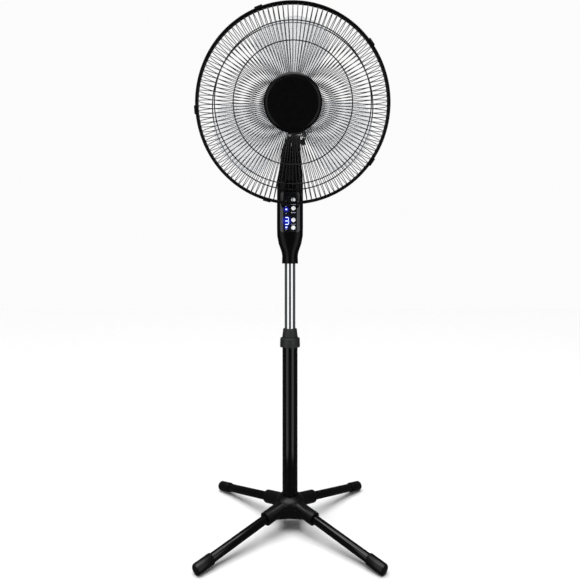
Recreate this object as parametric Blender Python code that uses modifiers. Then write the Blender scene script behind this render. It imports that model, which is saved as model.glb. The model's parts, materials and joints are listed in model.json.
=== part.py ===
"""Pedestal fan: cross base, telescopic pole, control neck, tilting and swinging head.

The part stands on the floor at z = 0 with the pole on the Z axis and its face towards -Y.
All sizes are in metres. The frames are nested empties, so a piece that moves is modelled
about the axis that it moves on:

    leg frames    X runs out along a leg
    tilt frame    origin on the tilt bolt, X along the bolt, turned by the nose-down tilt
    motor frame   origin on the motor axis, Z forwards through the badge, Y up
"""
import math

import bmesh
import bpy
from mathutils import Vector

MM = 0.001
GAP = 0.3 * MM

# Base: four tubes in a cross, a moulded hub and sleeve feet.
LEG_ANGLES = {"front_right": -45, "back_right": 45, "back_left": 135, "front_left": 225}
LEG_SLOPE = math.radians(10)
LEG_AXIS_HEIGHT = 59 * MM
LEG_RADIUS = 10 * MM
LEG_WALL = 1.2 * MM
LEG_START = 46 * MM
FOOT_END = 273.5 * MM
FOOT_LENGTH = 57 * MM
FOOT_RADIUS = 11.7 * MM
FOOT_END_WALL = 3 * MM
SOLE_START, SOLE_END = 232 * MM, 266 * MM
SOLE_WIDTH = 14 * MM
SOLE_TOP = 9 * MM
HUB_BOTTOM = 34 * MM
HUB_ARM_END = 80 * MM
HUB_ARM_RADIUS = 15.5 * MM
HUB_CORNER = 41 * MM
HUB_WAIST = 34 * MM
HUB_SKIRT_TOP = 55 * MM
HUB_TOP = 77 * MM
POT_RADIUS = 26 * MM
POT_CEILING = 44 * MM
BOLT_HOLE = 4.3 * MM

# Poles and the twist lock between them.
LOWER_POLE_RADIUS = 18 * MM
LOWER_POLE_WALL = 1.8 * MM
LOWER_POLE_BOTTOM = 48.3 * MM
LOWER_POLE_TOP = 444.5 * MM
UPPER_POLE_RADIUS = 12.75 * MM
UPPER_POLE_WALL = 1.0 * MM
UPPER_POLE_BOTTOM = 262 * MM
UPPER_POLE_TOP = 690 * MM
COLLAR_BOTTOM, COLLAR_TOP = 427 * MM, 449 * MM
COLLAR_RADIUS = 23.3 * MM
NUT_TOP = 471 * MM
NUT_BOTTOM_RADIUS, NUT_TOP_RADIUS = 18.7 * MM, 16.2 * MM

# Neck: height, left edge, right edge, half depth and squareness of each cross section.
NECK_SECTIONS = [
    (628, -19.0, 19.0, 19.0, 2.0),
    (643, -18.6, 18.6, 18.6, 2.0),
    (653, -20.3, 20.3, 19.0, 2.1),
    (662, -23.5, 23.5, 19.4, 2.3),
    (672, -27.0, 27.0, 19.9, 2.5),
    (691, -30.5, 30.5, 20.7, 2.8),
    (710, -31.0, 31.0, 21.0, 3.0),
    (767, -31.0, 31.0, 21.0, 3.0),
    (815, -30.5, 31.0, 21.0, 2.6),
    (859, -24.8, 27.5, 19.0, 2.3),
    (893, -20.2, 25.0, 16.5, 2.3),
]
NECK_WALL = 2.2 * MM
NECK_TOP = 893 * MM
NECK_PLUG_DEPTH = 14 * MM
LENS_CENTRE_Z = 745.5 * MM
LENS_WIDTH, LENS_HEIGHT, LENS_CORNER = 46 * MM, 95 * MM, 7 * MM
LENS_THICKNESS = 1.6 * MM
BUTTON_X = 7.9 * MM
BUTTON_HEIGHTS = {"power": 774, "swing": 754.5, "timer": 727, "speed": 709}
BUTTON_RADIUS = 5 * MM
BUTTON_FRONT, BUTTON_BACK = -22.2 * MM, -16.5 * MM
BOARD_FRONT = -14.8 * MM
INLET_HEIGHT = 672 * MM

# Tilt joint between the yoke on the neck and the bracket under the head.
PIVOT_HEIGHT = 915 * MM
HEAD_TILT = math.radians(11)
CHEEK_RADIUS = 12.5 * MM
SLOT_LEFT, SLOT_RIGHT = 3 * MM, 18 * MM
YOKE_RIGHT = 25 * MM
BOLT_RADIUS = 3 * MM

# Swing joint between the bracket and the head, and the crank linkage that drives it.
SWING_X = 10.5 * MM
TURNTABLE_RADIUS = 13.5 * MM
TURNTABLE_BOTTOM, TURNTABLE_TOP = 17 * MM, 21 * MM
SPINDLE_RADIUS, SPINDLE_TOP = 6 * MM, 34 * MM
CRANK_OFFSET = Vector((27.5, 22.0)) * MM
ROCKER_LENGTH = 15 * MM
SWING_LIMIT = math.radians(37.5)
CRANK_LIMIT = math.radians(60)
LINK_BOTTOM, LINK_TOP = 13.9 * MM, 16.7 * MM
LINK_PIN_RADIUS = 2 * MM

# Head: distances forwards of the swing axis, and radii about the motor axis.
MOTOR_X = 6 * MM
MOTOR_HEIGHT = 69 * MM
COVER_RADIUS, COVER_WALL = 45.5 * MM, 2 * MM
COVER_FRONT, COVER_BACK = 46 * MM, -49 * MM
PLATE_FRONT = 50 * MM
BOSS_RADIUS, BOSS_FRONT = 30 * MM, 60 * MM
SHAFT_RADIUS = 4 * MM
STATOR_RADIUS, ROTOR_RADIUS = 31 * MM, 18 * MM
RIM_OUTER, RIM_INNER = 210.5 * MM, 204 * MM
RIM_BACK, RIM_FRONT = 88.5 * MM, 102.5 * MM
BADGE_RADIUS = 60 * MM
BADGE_BACK, BADGE_FRONT = 151.5 * MM, 160 * MM
SPOKE_COUNT = 12
SPOKE_WIDTH = 4 * MM
WIRE_THICKNESS = 2.4 * MM
CLIP_ANGLES = [38, 110, 182, 254, 326]
CLIP_WIDTH = 20 * MM
BLADE_ANGLES = [92, 212, 332]
BLADE_TIP = 185 * MM
BLADE_HUB_RADIUS = 40 * MM
BLADE_BACK, BLADE_FRONT = 62 * MM, 96 * MM
BLADE_PLANE = 82 * MM
BLADE_THICKNESS = 2.2 * MM


def clear_scene():
    for item in list(bpy.data.objects):
        bpy.data.objects.remove(item, do_unlink=True)


def new_collection(name):
    collection = bpy.data.collections.new(name)
    bpy.context.scene.collection.children.link(collection)
    return collection


clear_scene()
FAN = new_collection("pedestal_fan")
CUTTERS = new_collection("cutters")


def material(name, colour, roughness, metallic=0.0, alpha=1.0):
    made = bpy.data.materials.new(name)
    made.use_nodes = True
    shader = made.node_tree.nodes["Principled BSDF"]
    shader.inputs["Base Color"].default_value = (*colour, 1.0)
    shader.inputs["Roughness"].default_value = roughness
    shader.inputs["Metallic"].default_value = metallic
    shader.inputs["Alpha"].default_value = alpha
    return made


ENAMEL = material("black_enamel", (0.012, 0.012, 0.014), 0.28)
MOULDED = material("black_abs", (0.014, 0.014, 0.015), 0.45)
COLLAR_PLASTIC = material("charcoal_nylon", (0.07, 0.07, 0.075), 0.55)
CHROME = material("chrome", (0.78, 0.79, 0.80), 0.07, 1.0)
STEEL = material("zinc_steel", (0.55, 0.55, 0.56), 0.35, 1.0)
CORE_STEEL = material("lamination_steel", (0.25, 0.24, 0.23), 0.5, 0.9)
LENS_PLASTIC = material("smoked_acrylic", (0.01, 0.012, 0.03), 0.08)
BUTTON_PLASTIC = material("white_abs", (0.85, 0.86, 0.88), 0.35)
DISPLAY = material("display_blue", (0.10, 0.12, 0.65), 0.3)
BOARD = material("board_laminate", (0.03, 0.18, 0.07), 0.5)
BLADE_PLASTIC = material("clear_san", (0.62, 0.63, 0.66), 0.12, 0.0, 0.45)
RUBBER = material("black_rubber", (0.02, 0.02, 0.02), 0.8)


def empty(name, parent=None, location=(0, 0, 0), rotation=(0, 0, 0)):
    frame = bpy.data.objects.new(name, None)
    frame.empty_display_size = 0.02
    frame.parent = parent
    frame.location = location
    frame.rotation_euler = rotation
    FAN.objects.link(frame)
    return frame


def place(name, mesh, finish, parent=None, location=(0, 0, 0), rotation=(0, 0, 0)):
    """Link a mesh as a part, or as a hidden cutter when it has no finish."""
    item = bpy.data.objects.new(name, mesh)
    item.parent = parent
    item.location = location
    item.rotation_euler = rotation
    if finish is None:
        item.hide_render = True
        item.display_type = "WIRE"
        CUTTERS.objects.link(item)
    else:
        mesh.materials.append(finish)
        FAN.objects.link(item)
    return item


def mesh_from(bm, name):
    mesh = bpy.data.meshes.new(name)
    bm.to_mesh(mesh)
    bm.free()
    mesh.shade_smooth()
    mesh.set_sharp_from_angle(angle=math.radians(32))
    return mesh


AXIS_TURN = {"Z": (0, 0, 0), "X": (0, math.pi / 2, 0), "Y": (-math.pi / 2, 0, 0)}


def turned(name, profile, finish, parent=None, location=(0, 0, 0), axis="Z", steps=24):
    """A profile of (radius, height) points, outer side downwards, turned about an axis.

    A profile that starts and ends on the axis is a solid one, any other closes on itself."""
    bm = bmesh.new()
    points = [bm.verts.new((radius, 0, height)) for radius, height in profile]
    for first, second in zip(points, points[1:]):
        bm.edges.new((first, second))
    if profile[0][0] > 0:
        bm.edges.new((points[-1], points[0]))
    mesh = bpy.data.meshes.new(name)
    bm.to_mesh(mesh)
    bm.free()
    item = place(name, mesh, finish, parent, location, AXIS_TURN[axis])
    screw = item.modifiers.new("turn", "SCREW")
    screw.steps = steps
    screw.render_steps = steps
    screw.use_merge_vertices = True
    screw.merge_threshold = 0.00001
    return item


def ring(outer, inner, low, high):
    return [(outer, high), (outer, low), (inner, low), (inner, high)]


def rod(radius, low, high):
    return [(0, high), (radius, high), (radius, low), (0, low)]


def prism(name, outline, low, high, axis, finish=None, parent=None, location=(0, 0, 0)):
    """A flat outline pushed along an axis: (x, y) along Z, (x, z) along Y, (y, z) along X."""
    corner = {
        "Z": lambda u, v: (u, v, low),
        "Y": lambda u, v: (u, low, v),
        "X": lambda u, v: (low, u, v),
    }[axis]
    push = Vector([high - low if axis == letter else 0.0 for letter in "XYZ"])
    bm = bmesh.new()
    face = bm.faces.new([bm.verts.new(corner(u, v)) for u, v in outline])
    grown = bmesh.ops.extrude_face_region(bm, geom=[face], use_keep_orig=True)
    top = [part for part in grown["geom"] if isinstance(part, bmesh.types.BMVert)]
    bmesh.ops.translate(bm, verts=top, vec=push)
    bmesh.ops.recalc_face_normals(bm, faces=bm.faces)
    return place(name, mesh_from(bm, name), finish, parent, location)


def box(name, low, high, finish=None, parent=None):
    outline = [(low[0], low[1]), (high[0], low[1]), (high[0], high[1]), (low[0], high[1])]
    return prism(name, outline, low[2], high[2], "Z", finish, parent)


def loft(name, rings, finish=None, parent=None):
    """Skin a stack of closed rings that hold the same number of points, and cap the ends."""
    bm = bmesh.new()
    rows = [[bm.verts.new(point) for point in section] for section in rings]
    count = len(rows[0])
    for lower, upper in zip(rows, rows[1:]):
        for i in range(count):
            j = (i + 1) % count
            bm.faces.new((lower[i], lower[j], upper[j], upper[i]))
    bm.faces.new(rows[0])
    bm.faces.new(rows[-1])
    bmesh.ops.recalc_face_normals(bm, faces=bm.faces)
    return place(name, mesh_from(bm, name), finish, parent)


def boolean(target, tool, operation="DIFFERENCE"):
    step = target.modifiers.new(tool.name, "BOOLEAN")
    step.operation = operation
    step.solver = "EXACT"
    step.object = tool


def bevel(item, width, segments=1, angle=40):
    step = item.modifiers.new("edges", "BEVEL")
    step.width = width
    step.segments = segments
    step.limit_method = "ANGLE"
    step.angle_limit = math.radians(angle)


def arc(centre, radius, start, end, steps):
    """Points of an arc, angles in degrees."""
    points = []
    for i in range(steps + 1):
        turn = math.radians(start + (end - start) * i / steps)
        points.append((centre[0] + radius * math.cos(turn), centre[1] + radius * math.sin(turn)))
    return points


def rounded_rectangle(centre, width, height, corner, steps=4):
    points = []
    half = Vector((width / 2 - corner, height / 2 - corner))
    for sign_u, sign_v, start in ((1, 1, 0), (-1, 1, 90), (-1, -1, 180), (1, -1, 270)):
        middle = (centre[0] + sign_u * half.x, centre[1] + sign_v * half.y)
        points += arc(middle, corner, start, start + 90, steps)
    return points


def obround(first, second, radius_first, radius_second, steps=8):
    """The outline of a link: an arc about each of two centres, joined by straight sides."""
    run = math.degrees(math.atan2(second[1] - first[1], second[0] - first[0]))
    back = arc(first, radius_first, run + 90, run + 270, steps)
    front = arc(second, radius_second, run - 90, run + 90, steps)
    return back + front


def link_outline(first, second, radius_first, radius_second, half):
    """A link with a round eye about each of two centres and a narrower bar between them."""
    run = math.degrees(math.atan2(second[1] - first[1], second[0] - first[0]))
    points = []
    for centre, radius, way in ((first, radius_first, run), (second, radius_second, run + 180)):
        neck = math.degrees(math.asin(half / radius))
        points += arc(centre, radius, way + neck, way + 360 - neck, 14)
    return points


# ---------------------------------------------------------------------------- base


def leg_frame(name):
    turn = (0, LEG_SLOPE, math.radians(LEG_ANGLES[name]))
    return empty(f"leg_frame_{name}", None, (0, 0, LEG_AXIS_HEIGHT), turn)


def make_leg(name, frame):
    end = FOOT_END - FOOT_END_WALL - GAP
    profile = ring(LEG_RADIUS, LEG_RADIUS - LEG_WALL, LEG_START, end)
    turned(f"leg_{name}", profile, ENAMEL, frame, axis="X", steps=16)


def make_foot(name, frame):
    """A sleeve over the end of the leg with a flat sole moulded under it."""
    start = FOOT_END - FOOT_LENGTH
    profile = rod(FOOT_RADIUS, start, FOOT_END)
    profile[1:2] = [(FOOT_RADIUS - 2 * MM, FOOT_END), (FOOT_RADIUS, FOOT_END - 2 * MM)]
    foot = turned(f"foot_{name}", profile, MOULDED, frame, axis="X", steps=16)
    half = SOLE_WIDTH / 2
    sole = box(f"sole_{name}", (SOLE_START, -half, 0), (SOLE_END, half, SOLE_TOP))
    sole.rotation_euler = (0, 0, math.radians(LEG_ANGLES[name]))
    boolean(foot, sole, "UNION")
    bore = rod(LEG_RADIUS + GAP, start - MM, FOOT_END - FOOT_END_WALL)
    boolean(foot, turned(f"foot_bore_{name}", bore, None, frame, axis="X", steps=16))
    floor = box(f"floor_{name}", (0.2, -0.02, -0.01), (0.29, 0.02, 0))
    floor.rotation_euler = (0, 0, math.radians(LEG_ANGLES[name]))
    boolean(foot, floor)


def hub_skirt_outline():
    """A square with hollow sides and blunt corners, which lie under the four arms."""
    side = []
    steps, blunt = 7, 0.93
    for i in range(steps + 1):
        across = blunt * (2 * i / steps - 1)
        depth = HUB_WAIST + (HUB_CORNER - HUB_WAIST) * across * across
        side.append((HUB_CORNER * across, -depth))
    outline = []
    for quarter in range(4):
        turn = quarter * math.pi / 2
        for x, y in side:
            outline.append((x * math.cos(turn) - y * math.sin(turn),
                            x * math.sin(turn) + y * math.cos(turn)))
    return outline


def make_hub(frames):
    hub = prism("base_hub", hub_skirt_outline(), HUB_BOTTOM, HUB_SKIRT_TOP, "Z", MOULDED)
    dome_profile = [(0, HUB_TOP), (22.5 * MM, HUB_TOP), (24 * MM, HUB_TOP - 3 * MM),
                    (29 * MM, HUB_TOP - 6 * MM), (33 * MM, HUB_TOP - 10.5 * MM),
                    (34.5 * MM, 62 * MM), (33 * MM, 56 * MM), (33 * MM, 50 * MM), (0, 50 * MM)]
    boolean(hub, turned("hub_dome", dome_profile, None, steps=28), "UNION")
    for name, frame in frames.items():
        arm = turned(f"hub_arm_{name}", rod(HUB_ARM_RADIUS, 30 * MM, HUB_ARM_END), None,
                     frame, axis="X", steps=16)
        boolean(hub, arm, "UNION")
    socket, floor = LOWER_POLE_RADIUS + GAP, LOWER_POLE_BOTTOM - GAP
    inside = [(0, HUB_TOP + MM), (socket, HUB_TOP + MM), (socket, floor), (BOLT_HOLE, floor),
              (BOLT_HOLE, POT_CEILING), (POT_RADIUS, POT_CEILING),
              (POT_RADIUS, HUB_BOTTOM - 10 * MM), (0, HUB_BOTTOM - 10 * MM)]
    hollow = turned("hub_hollow", inside, None)
    bore = rod(LEG_RADIUS + GAP, LEG_START - GAP, HUB_ARM_END + MM)
    for name, frame in frames.items():
        leg_bore = turned(f"hub_bore_{name}", bore, None, frame, axis="X", steps=16)
        boolean(hollow, leg_bore, "UNION")
    boolean(hub, hollow)


def make_base():
    frames = {name: leg_frame(name) for name in LEG_ANGLES}
    for name, frame in frames.items():
        make_leg(name, frame)
        make_foot(name, frame)
    make_hub(frames)
    turned("hub_cover", rod(POT_RADIUS - GAP, HUB_BOTTOM + GAP, 36.7 * MM), MOULDED, steps=24)
    bolt = [(0, 70 * MM), (3.9 * MM, 70 * MM), (3.9 * MM, 43.7 * MM), (8 * MM, 43.7 * MM),
            (8 * MM, 38 * MM), (0, 38 * MM)]
    turned("base_bolt", bolt, STEEL, steps=12)
    plug = ring(LOWER_POLE_RADIUS - LOWER_POLE_WALL - GAP, 4.2 * MM,
                LOWER_POLE_BOTTOM + GAP, 72.5 * MM)
    turned("pole_insert", plug, STEEL, steps=24)


# --------------------------------------------------------------------------- poles


def make_poles():
    lower = ring(LOWER_POLE_RADIUS, LOWER_POLE_RADIUS - LOWER_POLE_WALL,
                 LOWER_POLE_BOTTOM, LOWER_POLE_TOP)
    turned("lower_pole", lower, ENAMEL)
    sliding = UPPER_POLE_RADIUS + GAP
    bush = ring(LOWER_POLE_RADIUS - LOWER_POLE_WALL - GAP, sliding, 405 * MM, 446 * MM)
    turned("pole_bush", bush, COLLAR_PLASTIC)
    collar = [(COLLAR_RADIUS - MM, COLLAR_TOP), (COLLAR_RADIUS, COLLAR_TOP - 1.5 * MM),
              (COLLAR_RADIUS + 0.5 * MM, COLLAR_BOTTOM),
              (LOWER_POLE_RADIUS + GAP, COLLAR_BOTTOM),
              (LOWER_POLE_RADIUS + GAP, LOWER_POLE_TOP + GAP),
              (LOWER_POLE_RADIUS - LOWER_POLE_WALL, LOWER_POLE_TOP + GAP),
              (LOWER_POLE_RADIUS - LOWER_POLE_WALL, COLLAR_TOP)]
    turned("collar_body", collar, COLLAR_PLASTIC)
    lip = NUT_TOP - 3 * MM
    nut = [(NUT_TOP_RADIUS - 0.8 * MM, NUT_TOP), (NUT_TOP_RADIUS, NUT_TOP - MM),
           (NUT_BOTTOM_RADIUS, COLLAR_TOP + GAP), (15 * MM, COLLAR_TOP + GAP),
           (15 * MM, lip), (sliding, lip), (sliding, NUT_TOP)]
    turned("collar_nut", nut, COLLAR_PLASTIC)
    collet = turned("collet", ring(14.7 * MM, sliding, 446.3 * MM, lip - GAP), COLLAR_PLASTIC)
    boolean(collet, box("collet_slot", (-MM, 0, 0.44), (MM, 0.02, 0.48)))
    upper = ring(UPPER_POLE_RADIUS, UPPER_POLE_RADIUS - UPPER_POLE_WALL,
                 UPPER_POLE_BOTTOM, UPPER_POLE_TOP)
    turned("upper_pole", upper, CHROME)
    spigot = UPPER_POLE_RADIUS - UPPER_POLE_WALL - GAP
    guide = LOWER_POLE_RADIUS - LOWER_POLE_WALL - 0.4 * MM
    end = UPPER_POLE_BOTTOM - GAP
    plug = [(0, 275 * MM), (spigot, 275 * MM), (spigot, end), (guide, end),
            (guide, 250 * MM), (0, 250 * MM)]
    turned("pole_end_plug", plug, COLLAR_PLASTIC, steps=24)


# ---------------------------------------------------------------------------- neck


def neck_section(height, inset=0.0):
    """Centre, half width, half depth and squareness of the neck at a height."""
    rows = [(z * MM, left * MM, right * MM, depth * MM, power)
            for z, left, right, depth, power in NECK_SECTIONS]
    height = min(max(height, rows[0][0]), rows[-1][0])
    for low, high in zip(rows, rows[1:]):
        if height <= high[0]:
            share = (height - low[0]) / (high[0] - low[0])
            _, left, right, depth, power = [a + (b - a) * share for a, b in zip(low, high)]
            return (left + right) / 2, (right - left) / 2 - inset, depth - inset, power
    raise ValueError("no neck section at this height")


def neck_arc(height, inset, start, end, steps, level=None):
    """Points of the neck's outline between two angles, 0 at +X and 90 at +Y."""
    centre, width, depth, power = neck_section(height, inset)
    points = []
    for i in range(steps + 1):
        turn = math.radians(start + (end - start) * i / steps)
        x, y = math.cos(turn), math.sin(turn)
        reach = (abs(x) ** power + abs(y) ** power) ** (-1 / power)
        points.append((centre + width * reach * x, depth * reach * y, level or height))
    return points


def neck_shell(name, start, end):
    """One half of the housing: an outer arc and an inner arc at each height."""
    rings = []
    shift = GAP / 2 if start == 0 else -GAP / 2
    for height in [row[0] * MM for row in NECK_SECTIONS]:
        outer = neck_arc(height, 0, start, end, 14)
        inner = neck_arc(height, NECK_WALL, end, start, 14)
        rings.append([(x, y + shift, z) for x, y, z in outer + inner])
    return loft(name, rings, MOULDED)


def neck_stack(levels, inset):
    return [neck_arc(height, inset, 0, 345, 23, level) for height, level in levels]


def make_yoke():
    """The top of the neck: a plug in the shells, a flange over them, and two cheeks."""
    flange_low, flange_high = NECK_TOP + GAP, NECK_TOP + 4 * MM
    yoke = loft("neck_yoke", neck_stack([(NECK_TOP, flange_low), (NECK_TOP, flange_high)], 0),
                MOULDED)
    low = NECK_TOP - NECK_PLUG_DEPTH
    plug_levels = [(NECK_TOP, low), (NECK_TOP, NECK_TOP + 2 * MM)]
    plug = loft("yoke_plug", neck_stack(plug_levels, NECK_WALL + GAP))
    boolean(yoke, plug, "UNION")
    top = PIVOT_HEIGHT + CHEEK_RADIUS
    root = NECK_TOP + 2 * MM
    slot_floor = PIVOT_HEIGHT - 14 * MM
    front_view = [(-19.5 * MM, root), (YOKE_RIGHT, root), (YOKE_RIGHT, top),
                  (SLOT_RIGHT, top), (SLOT_RIGHT, slot_floor), (SLOT_LEFT, slot_floor),
                  (SLOT_LEFT, top), (-4.5 * MM, top)]
    cheeks = prism("yoke_cheeks", front_view, -15 * MM, 15 * MM, "Y")
    side_view = arc((0, PIVOT_HEIGHT), CHEEK_RADIUS, 0, 180, 16)
    side_view += [(-CHEEK_RADIUS, NECK_TOP), (CHEEK_RADIUS, NECK_TOP)]
    boolean(cheeks, prism("yoke_side", side_view, -30 * MM, 30 * MM, "X"), "INTERSECT")
    boolean(yoke, cheeks, "UNION")
    at_pivot = (0, 0, PIVOT_HEIGHT)
    hole = rod(BOLT_RADIUS + GAP, -30 * MM, 40 * MM)
    boolean(yoke, turned("yoke_bolt_hole", hole, None, None, at_pivot, "X", 16))
    pocket = rod(6.4 * MM, -30 * MM, -7 * MM)
    boolean(yoke, turned("yoke_head_pocket", pocket, None, None, at_pivot, "X", 16))


def make_neck_shells():
    front = neck_shell("neck_front", 180, 360)
    rear = neck_shell("neck_rear", 0, 180)
    window = rounded_rectangle((0, LENS_CENTRE_Z), LENS_WIDTH + 2 * GAP,
                               LENS_HEIGHT + 2 * GAP, LENS_CORNER + GAP)
    boolean(front, prism("lens_window", window, -30 * MM, -8 * MM, "Y"))
    inlet_hole = rod(4.8 * MM, 10 * MM, 30 * MM)
    boolean(rear, turned("inlet_hole", inlet_hole, None, None, (0, 0, INLET_HEIGHT), "Y", 16))
    heights = [row[0] * MM for row in NECK_SECTIONS if 690 < row[0] < 816]
    rings = []
    for height in heights:
        outer = neck_arc(height, 0, 200, 340, 10)
        inner = neck_arc(height, LENS_THICKNESS, 340, 200, 10)
        rings.append(outer + inner)
    lens = loft("panel_lens", rings, LENS_PLASTIC)
    outline = rounded_rectangle((0, LENS_CENTRE_Z), LENS_WIDTH, LENS_HEIGHT, LENS_CORNER)
    boolean(lens, prism("lens_outline", outline, -30 * MM, -8 * MM, "Y"), "INTERSECT")
    for name, height in BUTTON_HEIGHTS.items():
        at = (BUTTON_X, 0, height * MM)
        hole = rod(BUTTON_RADIUS + GAP, -30 * MM, -8 * MM)
        boolean(lens, turned(f"{name}_hole", hole, None, None, at, "Y", 16))
        button = [(0, BUTTON_BACK), (BUTTON_RADIUS, BUTTON_BACK),
                  (BUTTON_RADIUS, BUTTON_FRONT + 0.8 * MM),
                  (BUTTON_RADIUS - 0.8 * MM, BUTTON_FRONT), (0, BUTTON_FRONT)]
        turned(f"button_{name}", button, BUTTON_PLASTIC, None, at, "Y", 16)


def make_neck_inside():
    clamp = ring(16 * MM, UPPER_POLE_RADIUS + GAP, 628.5 * MM, 655 * MM)
    turned("neck_clamp", clamp, MOULDED)
    board_back = BOARD_FRONT + 1.6 * MM
    box("circuit_board", (-21 * MM, BOARD_FRONT, 700 * MM), (21 * MM, board_back, 790 * MM),
        BOARD)
    box("display_module", (-16 * MM, -17.2 * MM, 704 * MM),
        (-MM, BOARD_FRONT - GAP, 758 * MM), DISPLAY)
    outside = 20.4 * MM
    inlet = [(5.2 * MM, 26 * MM), (6.5 * MM, outside), (4.5 * MM, outside),
             (4.5 * MM, 14.5 * MM), (2.4 * MM, 14.5 * MM), (2.4 * MM, 26 * MM)]
    turned("cord_inlet", inlet, RUBBER, None, (0, 0, INLET_HEIGHT), "Y", 16)


def make_tilt_fasteners():
    at_pivot = (0, 0, PIVOT_HEIGHT)
    bolt = [(0, 34 * MM), (BOLT_RADIUS, 34 * MM), (BOLT_RADIUS, -7.3 * MM),
            (5.8 * MM, -7.3 * MM), (5.8 * MM, -12 * MM), (0, -12 * MM)]
    turned("tilt_bolt", bolt, STEEL, None, at_pivot, "X", 12)
    bore = BOLT_RADIUS + GAP
    face = YOKE_RIGHT + GAP
    knob = [(0, 36 * MM), (8 * MM, 36 * MM), (9 * MM, 35 * MM), (9 * MM, 29.5 * MM),
            (8 * MM, 28.5 * MM), (5 * MM, 28.5 * MM), (5 * MM, face), (bore, face),
            (bore, 34.3 * MM), (0, 34.3 * MM)]
    turned("tilt_knob", knob, MOULDED, None, at_pivot, "X", 20)


# ------------------------------------------------------------ bracket and crank linkage


def linkage_points():
    """Places of the linkage in the tilt frame, seen from above, with the head at rest.

    The rocker pin stands where the line to the crank's centre is square to its own arm, so
    that the pin moves along the link. The crank's arm starts parallel to the rocker's."""
    swing = Vector((SWING_X, 0))
    spread = math.acos(ROCKER_LENGTH / CRANK_OFFSET.length)
    bearing = math.atan2(CRANK_OFFSET.y, CRANK_OFFSET.x) + spread
    along = Vector((math.cos(bearing), math.sin(bearing)))
    crank_arm = ROCKER_LENGTH * math.sin(SWING_LIMIT) / math.sin(CRANK_LIMIT)
    crank_drop = crank_arm * (1 - math.cos(CRANK_LIMIT))
    rocker_drop = ROCKER_LENGTH * (1 - math.cos(SWING_LIMIT))
    crank = swing + CRANK_OFFSET
    rocker_pin = swing + ROCKER_LENGTH * along
    crank_pin = crank + crank_arm * along
    eye = rocker_pin + along * (crank_drop - rocker_drop) / 2
    return crank, crank_pin, rocker_pin, eye


def make_bracket(tilt):
    """The tongue in the yoke, the turntable with its spindle, and the ear for the link."""
    _, _, rocker_pin, _ = linkage_points()
    tongue_outline = arc((0, 0), CHEEK_RADIUS - GAP, 180, 360, 16)
    tongue_outline += [(9 * MM, 13.6 * MM), (-9 * MM, 13.6 * MM)]
    bracket = prism("tilt_bracket", tongue_outline, SLOT_LEFT + GAP, SLOT_RIGHT - GAP, "X",
                    MOULDED, tilt)
    column = [(0, SPINDLE_TOP), (SPINDLE_RADIUS, SPINDLE_TOP),
              (SPINDLE_RADIUS, TURNTABLE_TOP), (TURNTABLE_RADIUS, TURNTABLE_TOP),
              (TURNTABLE_RADIUS, TURNTABLE_BOTTOM), (SPINDLE_RADIUS, TURNTABLE_BOTTOM),
              (SPINDLE_RADIUS, CHEEK_RADIUS + GAP), (0, CHEEK_RADIUS + GAP)]
    at_swing = (SWING_X, 0, 0)
    boolean(bracket, turned("bracket_column", column, None, tilt, at_swing, steps=32), "UNION")
    ear = obround((SWING_X, 0), rocker_pin, 6 * MM, 4.6 * MM)
    ear_top = TURNTABLE_TOP - 0.5 * MM
    boolean(bracket, prism("bracket_ear", ear, TURNTABLE_BOTTOM + 0.01 * MM, ear_top, "Z",
                           None, tilt), "UNION")
    pin = [(0, 18 * MM), (LINK_PIN_RADIUS, 18 * MM), (LINK_PIN_RADIUS, LINK_BOTTOM - GAP),
           (5.2 * MM, LINK_BOTTOM - GAP), (5.2 * MM, LINK_BOTTOM - 1.2 * MM),
           (0, LINK_BOTTOM - 1.2 * MM)]
    at_pin = (rocker_pin.x, rocker_pin.y, 0)
    boolean(bracket, turned("bracket_pin", pin, None, tilt, at_pin, steps=16), "UNION")
    hole = rod(BOLT_RADIUS + GAP, 0, 30 * MM)
    boolean(bracket, turned("bracket_hole", hole, None, tilt, (0, 0, 0), "X", 16))


def make_crank_and_link(tilt):
    crank, crank_pin, rocker_pin, eye = linkage_points()
    plate_low, plate_high = LINK_TOP + 0.9 * MM, 20.5 * MM
    arm = prism("swing_crank", obround(crank, crank_pin, 5.5 * MM, 4.2 * MM),
                plate_low, plate_high, "Z", STEEL, tilt)
    pin = [(0, 18.5 * MM), (LINK_PIN_RADIUS, 18.5 * MM),
           (LINK_PIN_RADIUS, LINK_BOTTOM - GAP), (3.4 * MM, LINK_BOTTOM - GAP),
           (3.4 * MM, LINK_BOTTOM - MM), (0, LINK_BOTTOM - MM)]
    at_pin = (crank_pin.x, crank_pin.y, 0)
    boolean(arm, turned("crank_pin", pin, None, tilt, at_pin, steps=16), "UNION")
    outline = link_outline(crank_pin, eye, 4.6 * MM, 5.9 * MM, 2.6 * MM)
    link = prism("swing_link", outline, LINK_BOTTOM, LINK_TOP, "Z", STEEL, tilt)
    close_hole = rod(LINK_PIN_RADIUS + GAP, 10 * MM, 20 * MM)
    boolean(link, turned("link_close_hole", close_hole, None, tilt, at_pin, steps=16))
    at_eye = (eye.x, eye.y, 0)
    loose_hole = rod(3.8 * MM, 10 * MM, 20 * MM)
    boolean(link, turned("link_loose_hole", loose_hole, None, tilt, at_eye, steps=20))


# ---------------------------------------------------------------------------- head


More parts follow.
